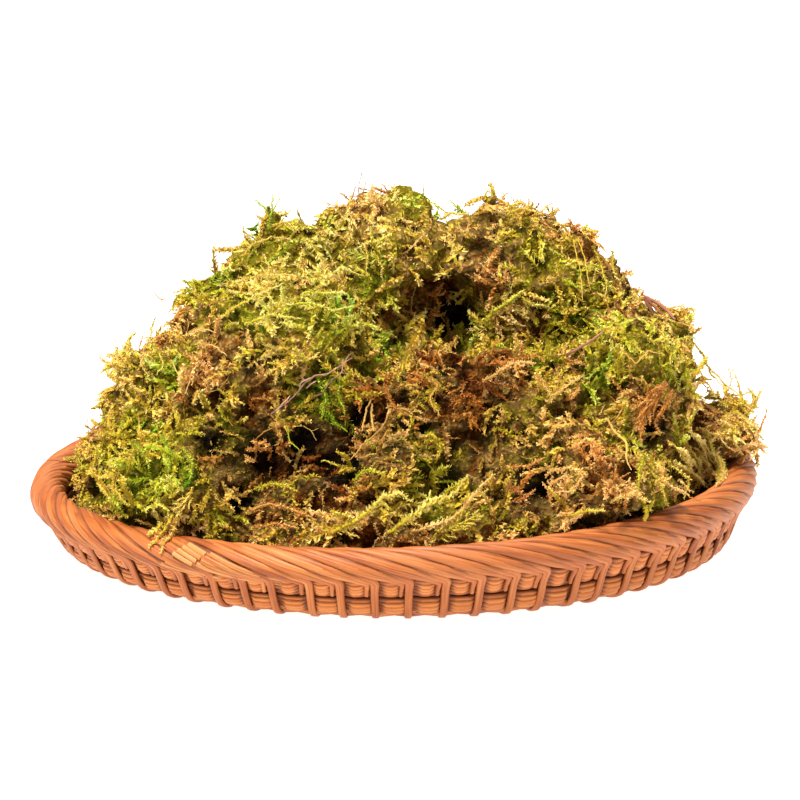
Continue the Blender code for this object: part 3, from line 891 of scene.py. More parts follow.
# One shoot from the origin along +X: a crumpled body and its leaves, one small triangle each
def shootMesh(name, look, seed):
    rng = np.random.default_rng(seed)
    verts, faces, along = [], [], []

    def put(place, share):
        verts.append(tuple(place))
        along.append(float(np.clip(share, 0, 1)))
        return len(verts) - 1

    def stemLine(start, heading, length, steps):
        line, heading = [np.array(start, float)], np.array(heading, float)
        lean = rng.normal(0, look["wander"], 2)
        for _ in range(steps):
            swerve = rng.normal(0, look["wander"] * 0.7, 2)
            heading = heading + (0, lean[0] + swerve[0], look["bend"] + lean[1] * 0.4 + swerve[1])
            heading /= np.linalg.norm(heading)
            line.append(line[-1] + heading * length / steps)
        return np.array(line)

    def frameAt(line, share):
        place = share * (len(line) - 1)
        i = min(int(place), len(line) - 2)
        ahead = line[i + 1] - line[i]
        ahead = ahead / np.linalg.norm(ahead)
        side = np.cross((0.0, 0.13, 1.0), ahead)
        side = side / max(np.linalg.norm(side), 1e-6)
        return line[i] + (line[i + 1] - line[i]) * (place - i), ahead, side, np.cross(ahead, side)

    def body(line, radius, rings, first, last):
        before = None
        for i in range(rings + 1):
            at = i / rings
            place, _ahead, side, top = frameAt(line, min(at, 0.999))
            wide = radius * math.sin(math.pi * (0.15 + 0.80 * at)) ** 0.6
            ring = []
            for k in range(3):
                turn = i * 1.05 + k * math.pi * 2 / 3
                out = (math.cos(turn) * side + math.sin(turn) * top) * wide * rng.uniform(0.6, 1.3)
                ring.append(put(place + out, first + (last - first) * at + rng.uniform(-0.15, 0.35)))
            if before:
                for k in range(3):
                    faces.append((before[k], before[(k + 1) % 3], ring[(k + 1) % 3], ring[k]))
            before = ring

    def leaf(line, share, turn, length, at):
        place, ahead, side, top = frameAt(line, share)
        out = math.cos(turn) * side + math.sin(turn) * top
        away = math.radians(look["opening"] * rng.uniform(0.6, 1.4))
        heading = math.cos(away) * ahead + math.sin(away) * out
        across = np.cross(heading, ahead) + rng.normal(0, 0.5, 3)
        across = across - heading * np.dot(across, heading)
        across = across / max(np.linalg.norm(across), 1e-6)
        wide = across * length * look["leafWidth"] * rng.uniform(0.7, 1.3) / 2
        low, high = 0.08 + 0.40 * at, 0.50 + 0.50 * at
        if rng.random() < look["pointed"]:
            foot = put(place + wide, low), put(place - wide, low)
            faces.append((*foot, put(place + heading * length, high)))
        else:
            faces.append((
                put(place, low), put(place + wide + heading * length * rng.uniform(0.7, 1.05), high),
                put(place - wide + heading * length * rng.uniform(0.5, 1.0), high * rng.uniform(0.7, 1.0)),
            ))

    def leafy(line, leaves, length, first, last):
        for i in range(leaves):
            share = min(max(0.02 + 0.97 * (i + rng.uniform(-0.4, 0.4)) / leaves, 0.0), 0.999)
            if look["flat"]:
                turn = (0 if i % 2 else math.pi) + rng.normal(0, 0.25)
            else:
                turn = i * 2.4 + rng.normal(0, 0.35)
            size = length * (0.6 + 0.5 * math.sin(math.pi * min(0.95, 0.2 + 0.75 * share)))
            leaf(line, share, turn, size * rng.uniform(0.75, 1.25), first + (last - first) * share)

    line = stemLine((0, 0, 0), (1, 0, 0), look["length"], look["steps"])
    body(line, look["bodyRadius"], look["rings"], 0.05, 0.55)
    leafy(line, look["leaves"], look["leafLength"], 0.0, 1.0)
    for i in range(look["branches"]):
        share = 0.15 + 0.65 * (i + rng.uniform(0, 0.8)) / look["branches"]
        place, ahead, side, top = frameAt(line, share)
        turn = (1 if i % 2 else -1) * rng.uniform(0.6, 1.1)
        heading = math.cos(turn) * ahead + math.sin(turn) * side + rng.normal(0, 0.35) * top
        twig = stemLine(place, heading / np.linalg.norm(heading), look["length"] * rng.uniform(0.3, 0.5), 3)
        body(twig, look["bodyRadius"] * 0.85, look["branchRings"], share * 0.4, 0.6)
        leafy(twig, look["branchLeaves"], look["leafLength"] * 0.9, share * 0.7, 1.0)
    return newMesh(name, verts, [], faces, along=along)


# Lengths in metres, the leaves' opening in degrees; "pointed" is the share of narrow-tipped leaves
def shootKind(length, steps, bend, wander, bodyRadius, rings, leaves, leafLength, leafWidth, opening,
              pointed, variants, flat=False, branches=0, branchLeaves=0, branchRings=0):
    look = dict(locals())
    for name in ("length", "bodyRadius", "leafLength"):
        look[name] = look[name] * mm
    return look


shootKinds = {
    # a creeping stem, furred all round with short crumpled leaves
    "creeping": shootKind(12, 8, -0.14, 0.26, 1.0, 9, 38, 1.75, 0.66, 55, 0.2, 9),
    # the same with side shoots
    "branching": shootKind(12, 6, -0.16, 0.26, 0.85, 6, 24, 1.5, 0.66, 55, 0.2, 9,
                           branches=4, branchLeaves=11, branchRings=3),
    # a flat feather
    "frond": shootKind(16, 5, -0.09, 0.12, 0.30, 6, 60, 2.7, 0.30, 55, 0.7, 6, flat=True),
    # dense narrow needles
    "needle": shootKind(9, 3, 0.05, 0.14, 0.30, 4, 56, 2.3, 0.17, 42, 1.0, 5),
    # dead and curled up
    "curl": shootKind(14, 9, -0.10, 0.55, 0.36, 9, 34, 1.15, 0.70, 45, 0.3, 9),
    # bare rootlets and dead stems
    "thread": shootKind(20, 8, 0.0, 0.30, 0.26, 8, 3, 1.0, 0.4, 40, 1.0, 8),
}


def shootCollection(kind):
    look = shootKinds[kind]
    group = bpy.data.collections.new(kind + " shoots")
    for number in range(look["variants"]):
        name = f"{kind}_{number}"
        group.objects.link(bpy.data.objects.new(name, shootMesh(name, look, number * 7 + len(kind))))
    return group


# Meshes of a collection, each picked by chance, at points
def scattered(tree, given, group, points, rotation, scale):
    source = addNode(tree, "GeometryNodeCollectionInfo", inputs={
        "Collection": given[group], "Separate Children": True, "Reset Children": True,
    })
    pick = addNode(tree, "FunctionNodeRandomValue", {"data_type": "INT"}, {
        "Min": 0, "Max": 999, "Seed": given["Seed"],
    })
    copies = addNode(tree, "GeometryNodeInstanceOnPoints", inputs={
        "Points": points, "Instance": source.outputs[0], "Pick Instance": True,
        "Instance Index": pick.outputs["Value"], "Rotation": rotation, "Scale": scale,
    })
    return realized(tree, copies.outputs[0])


def facingAlong(tree, ahead, upward):
    return addNode(tree, "FunctionNodeAxesToRotation", {"primary_axis": "X", "secondary_axis": "Z"}, {
        "Primary Axis": ahead, "Secondary Axis": upward,
    }).outputs[0]


# Place on the moss colours, and how near the tip a point is, raised where the heap is lit
def mossChart(tree, share):
    raised = calc(tree, "MULTIPLY_ADD", named(tree, "lit"), share, named(tree, "along"), clamp=True)
    return combined(tree, named(tree, "tone"), raised)


def scatterTree():
    tree, given = newTree("scattered shoots", {
        "Shoots": "Collection", "Share": "String", "Spacing": "Float", "Density": "Float",
        "Smallest": "Float", "Largest": "Float", "Flattest": "Float", "Steepest": "Float",
        "Swing": "Float", "Tone Spread": "Float", "Tone Shift": "Float",
    })

    def around(limit, step):
        return between(tree, calc(tree, "MULTIPLY", given[limit], -1.0), given[limit], given["Seed"], step)

    spots = addNode(tree, "GeometryNodeDistributePointsOnFaces", {"distribute_method": "POISSON"}, {
        "Mesh": given["Geometry"], "Distance Min": given["Spacing"], "Density Max": given["Density"],
        "Density Factor": named(tree, given["Share"]), "Seed": given["Seed"],
    })
    normal = spots.outputs["Normal"]
    flow = named(tree, "flow", "FLOAT_VECTOR")
    rise = vector(tree, "SCALE", normal, scale=vector(tree, "DOT_PRODUCT", flow, normal))
    lying = vector(tree, "NORMALIZE", vector(tree, "SUBTRACT", flow, rise))
    swung = addNode(tree, "ShaderNodeVectorRotate", {"rotation_type": "AXIS_ANGLE"}, {
        "Vector": lying, "Axis": normal, "Angle": around("Swing", 1),
    }).outputs[0]
    tilt = between(tree, given["Flattest"], given["Steepest"], given["Seed"], 2)
    heading = vector(tree, "ADD", vector(tree, "SCALE", swung, scale=calc(tree, "COSINE", tilt)),
                     vector(tree, "SCALE", normal, scale=calc(tree, "SINE", tilt)))
    tone = calc(tree, "ADD", named(tree, "tone"), given["Tone Shift"])
    tone = calc(tree, "ADD", tone, around("Tone Spread", 3), clamp=True)
    grown = scattered(tree, given, "Shoots", stored(tree, spots.outputs["Points"], "tone", tone),
                      facingAlong(tree, heading, normal),
                      between(tree, given["Smallest"], given["Largest"], given["Seed"], 4))
    return endTree(tree, given, grown, mossChart(tree, 0.26))


# From dead and nearly black, over rust, tan and straw, to olive, lime and deep green
mossColours = (
    (0.00, "#1E1206"), (0.12, "#5A3214"), (0.25, "#A45C20"), (0.36, "#CC8A3C"), (0.46, "#DCB064"),
    (0.56, "#D2B040"), (0.68, "#C8B632"), (0.80, "#B4BC2E"), (0.90, "#8AAE22"), (1.00, "#56801C"),
)
# Pale leaf tips, also mixed in as the painted highlight on the packed moss
mossTips = "#F4ECB0"


# Dry moss leaf, one cell thick: matt, darker where it is rooted and paler at its tips, and moved along the
# same scale by the heap's painted light and shade
def dryPlant(name, colours, tip):
    made, tree, shader = newMaterial(name, {"Roughness": 0.8, "Specular IOR Level": 0.06})
    chart = addNode(tree, "ShaderNodeUVMap", {"uv_map": bakeLayer}).outputs["UV"]
    tone, toTip, _none = separated(tree, chart)
    leaf = dimmed(tree, ramped(tree, tone, colours), mapped(tree, toTip, 0.05, 0.65, 0.56, 1.25))
    leaf = mixed(tree, mapped(tree, toTip, 0.50, 1.0, 0.0, 0.48), leaf, linear(tip))
    fill(tree, shader, {"Base Color": leaf})
    return made


# The matted body: crumpled moss packed close, paler on its raised leaf tips and strings, with painted shade
# in the hollows of the heap and a painted highlight where it is raised and unshaded
def oldMoss():
    made, tree, shader = newMaterial("packed moss", {"Roughness": 0.9, "Specular IOR Level": 0.04})
    place = addNode(tree, "ShaderNodeTexCoord").outputs["Object"]
    # Leaf tips 1.6 mm apart and strings 5 mm apart, both pulled out of line by up to 2.6 mm
    reach = (2.6 * mm, 2.6 * mm, 2.6 * mm)
    pulled = vector(tree, "MULTIPLY_ADD", noiseOf(tree, 260.0, 2.0, place)[1], reach, place)
    leaves = addNode(tree, "ShaderNodeTexVoronoi", {"feature": "F1"}, {"Vector": pulled, "Scale": 620.0})
    strings = addNode(tree, "ShaderNodeTexNoise", {"noise_type": "RIDGED_MULTIFRACTAL"}, {
        "Vector": pulled, "Scale": 190.0, "Detail": 3.0, "Roughness": 0.6, "Offset": 0.8, "Gain": 1.6,
    })
    raised = calc(tree, "ADD", mapped(tree, leaves.outputs["Distance"], 0.0, 0.80, 0.55, 0.0),
                  mapped(tree, strings.outputs["Fac"], 0.5, 2.0, 0.0, 0.85))
    # Blotches 4 mm wide, a step or two to either side on the moss colours
    mottled = calc(tree, "MULTIPLY_ADD", noiseOf(tree, 230.0, 2.0, place)[0], 0.7, attributeOf(tree, "tone"))
    body = ramped(tree, calc(tree, "SUBTRACT", mottled, 0.37), mossColours)
    light = calc(tree, "MULTIPLY", mapped(tree, raised, 0.25, 0.9, 0.24, 1.16), attributeOf(tree, "shade"))
    # Painted highlight: the pale tip colour mixed in where the light is strongest
    paler = mapped(tree, light, 0.80, 1.15, 0.0, 0.45)
    fill(tree, shader, {
        "Base Color": mixed(tree, paler, dimmed(tree, body, light), linear(mossTips)),
        "Normal": bumped(tree, 1.0, 0.9 * mm, raised),
    })
    return made


mat = mattedMoss()
mat.data.materials.clear()
mat.data.materials.append(oldMoss())
leafMoss = dryPlant("dry moss leaf", mossColours, mossTips)
shootsTree = scatterTree()

# piece, kind, where it grows, least spacing in millimetres, most for each square metre, smallest and
# largest scale, flattest and steepest tilt and swing in degrees, spread and shift of the tone
growth = (
    ("creeping_shoots_a", "creeping", "leafShare", 3.2, 26000, 0.8, 1.35, -5, 15, 50, 0.08, 0.0),
    ("creeping_shoots_b", "creeping", "leafShare", 3.3, 24000, 0.55, 1.0, 0, 26, 90, 0.12, 0.05),
    ("branching_shoots_a", "branching", "leafShare", 4.0, 14000, 0.75, 1.3, -5, 17, 60, 0.08, 0.0),
    ("branching_shoots_b", "branching", "leafShare", 4.6, 9500, 0.65, 1.1, 0, 24, 90, 0.08, 0.05),
    ("fronds", "frond", "frondShare", 4.0, 22000, 0.7, 1.2, -5, 20, 40, 0.06, 0.02),
    ("needle_moss", "needle", "needleShare", 2.6, 60000, 0.7, 1.1, 10, 60, 70, 0.05, 0.0),
    ("curled_shoots", "curl", "curlShare", 2.8, 36000, 0.6, 1.2, -5, 25, 90, 0.10, -0.04),
    ("threads", "thread", "open", 8.0, 6000, 0.4, 1.0, -15, 5, 90, 0.3, -0.2),
)
grownPieces = []
for number, (name, kind, share, spacing, density, small, large, *angles, spread, shift) in enumerate(growth):
    flattest, steepest, swing = (math.radians(angle) for angle in angles)
    grownPieces.append(grow(name, mat.data, shootsTree, {
        "Shoots": shootCollection(kind), "Share": share, "Spacing": spacing * mm, "Density": float(density),
        "Smallest": small, "Largest": large, "Flattest": flattest, "Steepest": steepest, "Swing": swing,
        "Tone Spread": spread, "Tone Shift": shift, "Seed": 11 * number + 2, "Finish": leafMoss,
    }))
for piece in (*grownPieces, mat):
    finishPiece(piece, "moss", "moss_clump")
print("moss done")


# Sprigs and straws that lie on the heap. Rows share a kind and a lift; each has its place on the moss
# colours, its size, and its line as pairs of millimetres to the right of and above the tray's middle, as
# the front view shows it.
laid = (
    # a tuft on the skyline
    ("rope", 0, (
        (0.84, 0.75, -52, 78, -51, 84, -48, 89, -47, 92), (0.86, 0.68, -51, 84, -54, 88, -58, 91),
        (0.82, 0.6, -50, 86, -50, 93),
    )),
    # the left-hand dome
    ("rope", 1.5, (
        (0.66, 0.9, -71, 42, -64, 47, -54, 52, -45, 56),
        (0.62, 0.83, -66, 56, -56, 59, -45, 60, -41, 59),
        (0.72, 0.9, -37, 52, -26, 52, -16, 52, -10, 53), (0.7, 0.83, -30, 58, -22, 62, -12, 59),
        (0.72, 0.9, -61, 39, -50, 43, -38, 41),
    )),
    ("rope", 1, (
        (0.58, 0.75, -62, 67, -58, 72, -50, 75, -42, 74), (0.56, 0.75, -50, 80, -44, 81, -39, 77),
        (0.6, 0.68, -11, 71, -11, 66, -11, 59), (0.6, 0.68, -8, 69, -5, 63, -4, 56),
    )),
    ("rope", 1.5, ((0.74, 0.83, -44, 47, -34, 48, -24, 45, -17, 46),)),
    ("rope", 1, ((0.48, 0.68, -87, 34, -80, 37, -74, 36),)),
    # the lacy left edge
    ("rope", 0, (
        (0.7, 0.6, -98, 42, -100, 38, -100, 33), (0.5, 0.6, -100, 33, -103, 29, -104, 23, -102, 18),
        (0.66, 0.6, -100, 33, -97, 28, -95, 23, -98, 18), (0.6, 0.7, -102, 27, -97, 28),
    )),
    ("straw", 0, (
        (0.4, 0.6, -94, 49, -97, 50, -100, 54), (0.45, 0.5, -97, 50, -96, 49, -93, 46),
    )),
    # the tan tuft
    ("straw", 1.5, (
        (0.46, 0.9, -91, 23, -88, 17, -85, 10), (0.44, 0.9, -82, 24, -84, 16, -86, 10),
    )),
    ("rope", 1.5, (
        (0.42, 1, -85, 28, -82, 22, -83, 14), (0.4, 1, -77, 28, -75, 20, -77, 11),
        (0.44, 0.68, -81, 31, -74, 30, -69, 26),
    )),
    # the green hollow below the twig
    ("rope", 1, (
        (0.84, 0.9, -31, 16, -28, 9, -30, 0), (0.82, 0.9, -22, 17, -23, 9, -20, 2),
        (0.86, 0.8, -27, 3, -24, -2, -19, -5),
    )),
    ("straw", 2, (
        (0.82, 0.9, -46, 0, -44, -3, -43, -9, -39, -13), (0.34, 0.7, -50, -1, -48, -5, -46, -9),
        (0.38, 0.7, -57, -9, -54, -6, -50, -4), (0.5, 0.6, -37, -3, -34, -5, -32, -9),
        (0.5, 0.5, -34, -5, -31, -4),
    )),
    # tan curls in the middle
    ("straw", 2.5, (
        (0.44, 1.1, -9, 8, -11, 4, -12, 0, -13, -5), (0.46, 1.1, -9, 6, -9, 0, -8, -5),
        (0.42, 1, -2, 2, -5, -4, -13, -11, -18, -17),
    )),
    ("rope", 2, (
        (0.38, 0.8, -4, 14, 0, 5, 6, 2), (0.44, 0.8, 0, 4, 4, 4, 8, 2),
        (0.4, 0.8, -17, -9, -11, -11, -6, -9, -2, -5), (0.46, 0.7, -17, -14, -13, -16, -7, -14),
    )),
    # green clubs round the cave
    ("rope", 2.5, (
        (0.58, 1.6, 12, 41, 10, 33, 5, 27), (0.62, 1.3, 8, 28, 4, 22, 2, 16),
    )),
    ("rope", 3.5, ((0.72, 1.35, 24, 28, 32, 35, 41, 44, 54, 53),)),
    ("rope", 3, (
        (0.56, 1.1, 45, 50, 50, 45, 55, 41), (0.5, 1, 40, 44, 47, 41, 54, 38),
        (0.66, 1, 53, 50, 58, 47, 64, 46),
    )),
    ("rope", 2.5, (
        (0.5, 1.1, 26, 34, 24, 30, 19, 28), (0.72, 0.9, 59, 41, 59, 33, 60, 30),
        (0.7, 0.9, 64, 32, 64, 28, 61, 24),
    )),
    ("rope", 2, (
        (0.45, 0.9, 37, 15, 44, 20, 50, 23, 58, 23), (0.48, 0.9, 58, 18, 62, 14, 66, 9, 72, 14, 77, 17),
        (0.52, 1, 11, 19, 18, 14, 15, 8, 19, 1),
    )),
    # hanging stems and lacy sprigs on the right-hand top
    ("straw", 1.5, (
        (0.56, 0.7, 74, 74, 77, 61, 78, 49, 77, 41), (0.6, 0.6, 76, 75, 79, 65, 81, 53),
    )),
    ("rope", 0.5, (
        (0.66, 0.8, 82, 72, 85, 65, 88, 55, 87, 48), (0.64, 0.8, 90, 69, 91, 61, 94, 54),
        (0.68, 0.7, 80, 80, 78, 77, 81, 74),
    )),
    ("rope", 1, (
        (0.58, 0.9, 47, 84, 53, 87, 60, 85), (0.62, 0.9, 19, 82, 24, 85, 32, 84),
    )),
    ("rope", 0.5, ((0.64, 0.7, 37, 91, 39, 94, 41, 92),)),
    ("rope", 1.5, ((0.8, 0.9, 71, 42, 76, 45, 82, 42, 86, 37),)),
    # the right-hand hill
    ("straw", 0, (
        (0.28, 0.9, 116, 43, 119, 42, 120, 44, 120, 46, 119, 47), (0.4, 0.8, 116, 40, 120, 39, 123, 38),
        (0.3, 1, 116, 29, 120, 28, 124, 28),
    )),
    ("rope", 1.5, (
        (0.66, 1, 102, 36, 107, 32, 112, 33, 116, 30), (0.7, 0.9, 97, 32, 102, 28, 106, 23),
    )),
    ("straw", 1.5, ((0.42, 0.8, 94, 28, 100, 23, 105, 28, 110, 27),)),
    ("straw", 0, (
        (0.47, 0.7, 145, 4, 149, 8, 154, 14), (0.44, 0.6, 146, 4, 150, 8, 152, 9),
    )),
    ("feather", 2.5, ((0.36, 1, 113, 15, 108, 9, 104, 2, 100, -5),)),
    ("rope", 2.5, ((0.34, 1, 110, 14, 105, 9, 102, 3),)),
    ("rope", 1, (
        (0.6, 1, 136, 7, 141, 6, 147, 2), (0.52, 1, 138, 0, 144, -2, 148, -9),
        (0.56, 0.9, 134, -5, 140, -9, 144, -15),
    )),
    # the clumps at the right-hand end, and the brown frond that hangs there
    ("rope", 4, (
        (0.58, 0.8, 122, -5, 128, -10, 133, -17), (0.52, 0.8, 126, -8, 129, -15, 130, -23),
        (0.62, 0.75, 122, -11, 126, -18, 126, -25, 124, -30),
        (0.55, 0.8, 131, -12, 135, -18, 136, -24, 132, -29), (0.6, 0.75, 118, -13, 122, -19, 123, -26),
        (0.5, 0.75, 128, -21, 131, -24, 130, -29), (0.56, 0.75, 120, -21, 125, -24, 129, -28),
    )),
    ("rope", 3, ((0.54, 0.75, 126, -14, 130, -20, 126, -24),)),
    ("rope", 1.5, (
        (0.56, 0.8, 107, 49, 113, 46, 120, 47), (0.5, 0.8, 105, 44, 111, 42, 116, 40),
    )),
    ("rope", 1, ((0.56, 0.8, 113, -9, 120, -14, 126, -21, 126, -29),)),
    ("rope", 0.5, (
        (0.52, 0.75, 120, -5, 127, -11, 133, -20), (0.6, 0.8, 110, -15, 116, -20, 122, -25, 120, -33),
        (0.5, 0.7, 124, -12, 131, -15, 137, -21), (0.58, 0.7, 116, -18, 124, -23, 131, -28),
        (0.46, 0.7, 108, -24, 115, -28, 122, -32),
    )),
    ("rope", 1, ((0.54, 0.75, 126, -4, 134, -7, 139, -13),)),
    ("rope", 0.5, (
        (0.42, 0.7, 122, -27, 126, -24, 132, -24), (0.62, 0.7, 105, -21, 110, -26, 112, -34),
        (0.5, 0.7, 128, -18, 133, -23, 135, -28), (0.56, 0.75, 129, -11, 126, -17, 128, -23, 126, -28),
        (0.48, 0.75, 120, -20, 118, -25, 122, -30),
    )),
    ("rope", 1, (
        (0.6, 0.75, 123, 32, 128, 26, 131, 18, 136, 13), (0.52, 0.75, 126, 28, 130, 21, 137, 14, 144, 9),
        (0.46, 0.75, 124, 23, 128, 16, 133, 9), (0.54, 0.75, 136, 9, 142, 7, 148, 3),
        (0.62, 0.7, 139, 4, 145, 0, 148, -5), (0.34, 0.9, 113, 14, 108, 8, 105, 0),
        (0.36, 0.9, 115, 12, 112, 6, 108, -1, 110, -6), (0.32, 0.9, 111, 14, 106, 9, 102, 4, 100, -4),
        (0.34, 0.8, 106, 7, 103, 0, 102, -10),
    )),
    # straws, curls and rust at the front
    ("straw", 2.5, (
        (0.5, 1.4, 88, 0, 91, -5, 96, -10, 96, -17, 98, -21), (0.36, 0.9, 99, -2, 102, 2, 107, 7),
    )),
    ("rope", 2.5, (
        (0.46, 0.9, 63, -24, 66, -21, 74, -20, 78, -24, 73, -30, 67, -30),
        (0.42, 0.8, 65, -27, 69, -24, 74, -24),
    )),
    ("rope", 2, (
        (0.38, 1, 48, -20, 55, -20, 62, -16), (0.26, 1, 47, -28, 52, -30, 56, -35),
        (0.28, 0.9, 50, -34, 55, -32, 59, -29), (0.72, 1.2, 104, -14, 102, -20, 100, -30),
        (0.68, 0.7, 102, -20, 105, -23),
    )),
    # fronds along the front
    ("rope", 3, (
        (0.66, 1.5, -25, -47, -17, -43, -10, -38, -4, -32, 2, -31, 8, -34),
        (0.68, 1.5, -2, -47, 4, -43, 11, -38, 15, -35, 21, -33, 27, -29, 30, -23),
    )),
    ("rope", 2.5, ((0.48, 1.2, 5, -47, 13, -45, 23, -42, 28, -38, 32, -33, 36, -28, 41, -23),)),
    ("feather", 1, ((0.66, 1.1, 15, -50, 26, -44, 36, -39),)),
    ("rope", 2, ((0.7, 1.2, 19, -33, 25, -28, 30, -24),)),
    ("rope", 1.5, (
        (0.68, 1, -57, -29, -51, -27, -46, -27, -40, -30), (0.66, 1, -26, -38, -20, -40, -13, -45),
    )),
    ("rope", 1, (
        (0.4, 1, -60, -38, -52, -35, -42, -37, -32, -42), (0.38, 0.9, -58, -45, -48, -43, -39, -45),
    )),
    ("rope", 1.5, ((0.72, 1, -17, -25, -11, -21, -4, -23),)),
    ("rope", 1, (
        (0.64, 1, 69, -42, 77, -38, 87, -38), (0.5, 0.9, 89, -34, 98, -31, 106, -34),
    )),
    # the green left-hand foot
    ("rope", 1.5, (
        (0.8, 1, -108, -9, -103, -14, -101, -21), (0.82, 1, -96, -7, -92, -14, -93, -22),
        (0.8, 0.9, -87, -12, -83, -18, -84, -25),
    )),
    ("rope", 1, (
        (0.62, 1, -120, -9, -123, -15, -124, -23), (0.58, 1, -114, -21, -116, -28, -111, -34),
    )),
    ("feather", 1, ((0.58, 0.9, -82, -28, -86, -34, -91, -38),)),
    # sprigs that hang over the border
    ("rope", 1.5, (
        (0.6, 1.4, -91, -40, -94, -45, -98, -50, -101, -53),
        (0.52, 1.3, -89, -41, -91, -47, -95, -52, -96, -55), (0.66, 1.2, -95, -43, -99, -46, -102, -48),
        (0.7, 1.2, 129, -5, 132, -14, 135, -23, 133, -31, 128, -36),
    )),
    ("rope", 1.2, (
        (0.7, 0.8, 132, -14, 136, -18, 138, -24), (0.66, 0.8, 134, -24, 130, -28, 129, -32),
    )),
    ("straw", 1.2, ((0.32, 0.7, 118, -29, 122, -32, 126, -34, 129, -33),)),
)

# The sticks: how thick, and the lines of their strands as the front view shows them
stickLines = {
    "forked_twig": (
        (0.40, -50.5, 2, -45.5, 5.5, -42, 8.5, -40, 10.5, -36, 15.5, -32, 18, -28, 18, -21, 22.5, -18, 26.5),
        (0.34, -40, 10, -37.5, 14, -32.5, 17.5, -26, 19), (0.30, -39, 11.5, -38, 15, -34.5, 17),
        (0.36, -33, 9, -29.5, 10.5, -26, 15.5, -21.5, 19, -20.5, 23, -17, 25),
        (0.26, -21.5, 19, -18.5, 18.5), (0.32, -48.5, 3, -45, 7, -42.5, 9.5),
        (0.46, -36, 12.5, -33.5, 14.5, -32, 15.5),
    ),
    "thin_stick": ((0.80, 71, 26, 77, 29.5, 82.5, 33, 87, 36.5),),
    "bark_strip": (
        (0.9, 103, 50, 105, 47, 107, 43), (0.8, 103, 50.5, 106.5, 47.5, 110, 44, 113, 41.5),
        (1.1, 103.5, 50.5, 108.5, 48, 113, 44.5, 116, 41),
    ),
}

# Laying a line on the heap, from the eye that the photograph was taken with
laying = {
    "eye": Vector((0.00264, -2.1436, 0.5450)),
    "eyeToTray": 2.19,
    "step": 3 * mm,
    "longestStep": 13.0 * mm,       # a line is broken where the heap falls away further than this
    "lowest": 4 * mm,
    "stickLift": 1.6,
    "feather": {"stem": 0.75, "side": 0.72, "spacing": 1.5, "reach": 4.6},
}


def pairs(row):
    return tuple(zip(row[::2], row[1::2]))


def seenSurface(*meshes):
    verts, faces = [], []
    for mesh in meshes:
        first = len(verts)
        verts += [tuple(vertex.co) for vertex in mesh.vertices]
        faces += [tuple(first + i for i in face.vertices) for face in mesh.polygons]
    return BVHTree.FromPolygons(verts, faces)


# Each value with its two neighbours
def threes(values):
    padded = np.concatenate((values[:1], values, values[-1:]))
    return padded[:-2], padded[1:-1], padded[2:]


# A line of the front view laid on the heap: rooted at its start, raised by its lift further on
def laidLine(surface, line, lift):
    eye = laying["eye"]
    line = [np.array(point) * mm for point in line]
    seen = [line[0]]
    for a, b in zip(line, line[1:]):
        steps = max(1, round(float(np.linalg.norm(b - a)) / laying["step"]))
        seen += [a + (b - a) * (i + 1) / steps for i in range(steps)]
    rays, away = [], []
    for right, up in seen:
        target = Vector((right, up * math.sin(lookDown), seenFrom + up * math.cos(lookDown)))
        rays.append((target - eye).normalized())
        away.append(surface.ray_cast(eye, rays[-1])[3])
    known = [i for i, reach in enumerate(away) if reach is not None]
    if not known:
        known = [0]
        away[0] = (surface.find_nearest(eye + rays[0] * laying["eyeToTray"])[0] - eye).dot(rays[0])
    away = np.interp(np.arange(len(seen)), known, [away[i] for i in known])
    before, at, after = threes(away)
    before, at, after = threes(np.minimum(np.minimum(before, at), after))
    away = (before + at + after) / 3
    raised = lift * mm * (1.25 * smoothStep(0.0, 0.25, np.linspace(0, 1, len(seen))) - 0.25)
    laidOn = [eye + ray * float(reach - up) for ray, reach, up in zip(rays, away, raised)]
    runs = [[laidOn[0]]]
    for a, b in zip(laidOn, laidOn[1:]):
        if (b - a).length > laying["longestStep"]:
            runs.append([])
        runs[-1].append(b)
    return [Vector((place.x, place.y, max(place.z, laying["lowest"]))) for place in max(runs, key=len)]


# A feather's side shoots, curving forward from its stem
def feathered(line, size, seed):
    rng = np.random.default_rng(seed)
    line = np.array(line, float)
    lengths = np.concatenate(([0.0], np.cumsum(np.linalg.norm(np.diff(line, axis=0), axis=1))))
    sides, count = [], int(lengths[-1] / laying["feather"]["spacing"])
    for i in range(2, count):
        at = lengths[-1] * i / count
        place, later = (
            np.array([np.interp(here, lengths, axis) for axis in line.T]) for here in (at, at + 1)
        )
        ahead = later - place
        if np.linalg.norm(ahead) < 1e-6:
            continue
        ahead /= np.linalg.norm(ahead)
        side = np.array((-ahead[1], ahead[0])) * (1 if i % 2 else -1)
        reach = math.sin(math.pi * (0.18 + 0.75 * i / count)) * rng.uniform(0.6, 1.25)
        reach *= size * laying["feather"]["reach"]
        spread = rng.uniform(0.45, 1.1)
        sides.append((place, place + (0.5 * ahead + spread * side) * reach * 0.5,
                      place + (1.0 * ahead + spread * side) * reach + rng.normal(0, 0.4, 2)))
    return sides


# A piece grown on paths, each with its size, place on the moss colours, light and line
def growPaths(name, paths, look):
    wide, tone, lit, lines = zip(*paths)
    return grow(name, lineMesh(name + " paths", lines, wide=wide, tone=tone, lit=lit), sprigsTree, look)


# Single crumpled leaves, one long, for the laid sprigs
def leafCollection():
    group = bpy.data.collections.new("single leaves")
    rng = np.random.default_rng(5)
    for number in range(12):
        bend = math.radians(rng.uniform(40, 72))
        ahead = np.array((math.cos(bend), 0, math.sin(bend)))
        out = np.array((0.0, rng.uniform(0.22, 0.42), 0.0))
        twist = np.array((rng.uniform(-0.2, 0.2), 0, rng.uniform(-0.2, 0.2)))
        tips = (ahead * rng.uniform(0.8, 1.1) + out + twist, ahead * rng.uniform(0.6, 1.0) - out)
        mesh = newMesh(f"leaf_{number}", [(0, 0, 0), *map(tuple, tips)], [], [(0, 1, 2)],
                       along=[0.3, 1.0, rng.uniform(0.6, 0.9)])
        group.objects.link(bpy.data.objects.new(f"leaf_{number}", mesh))
    return group


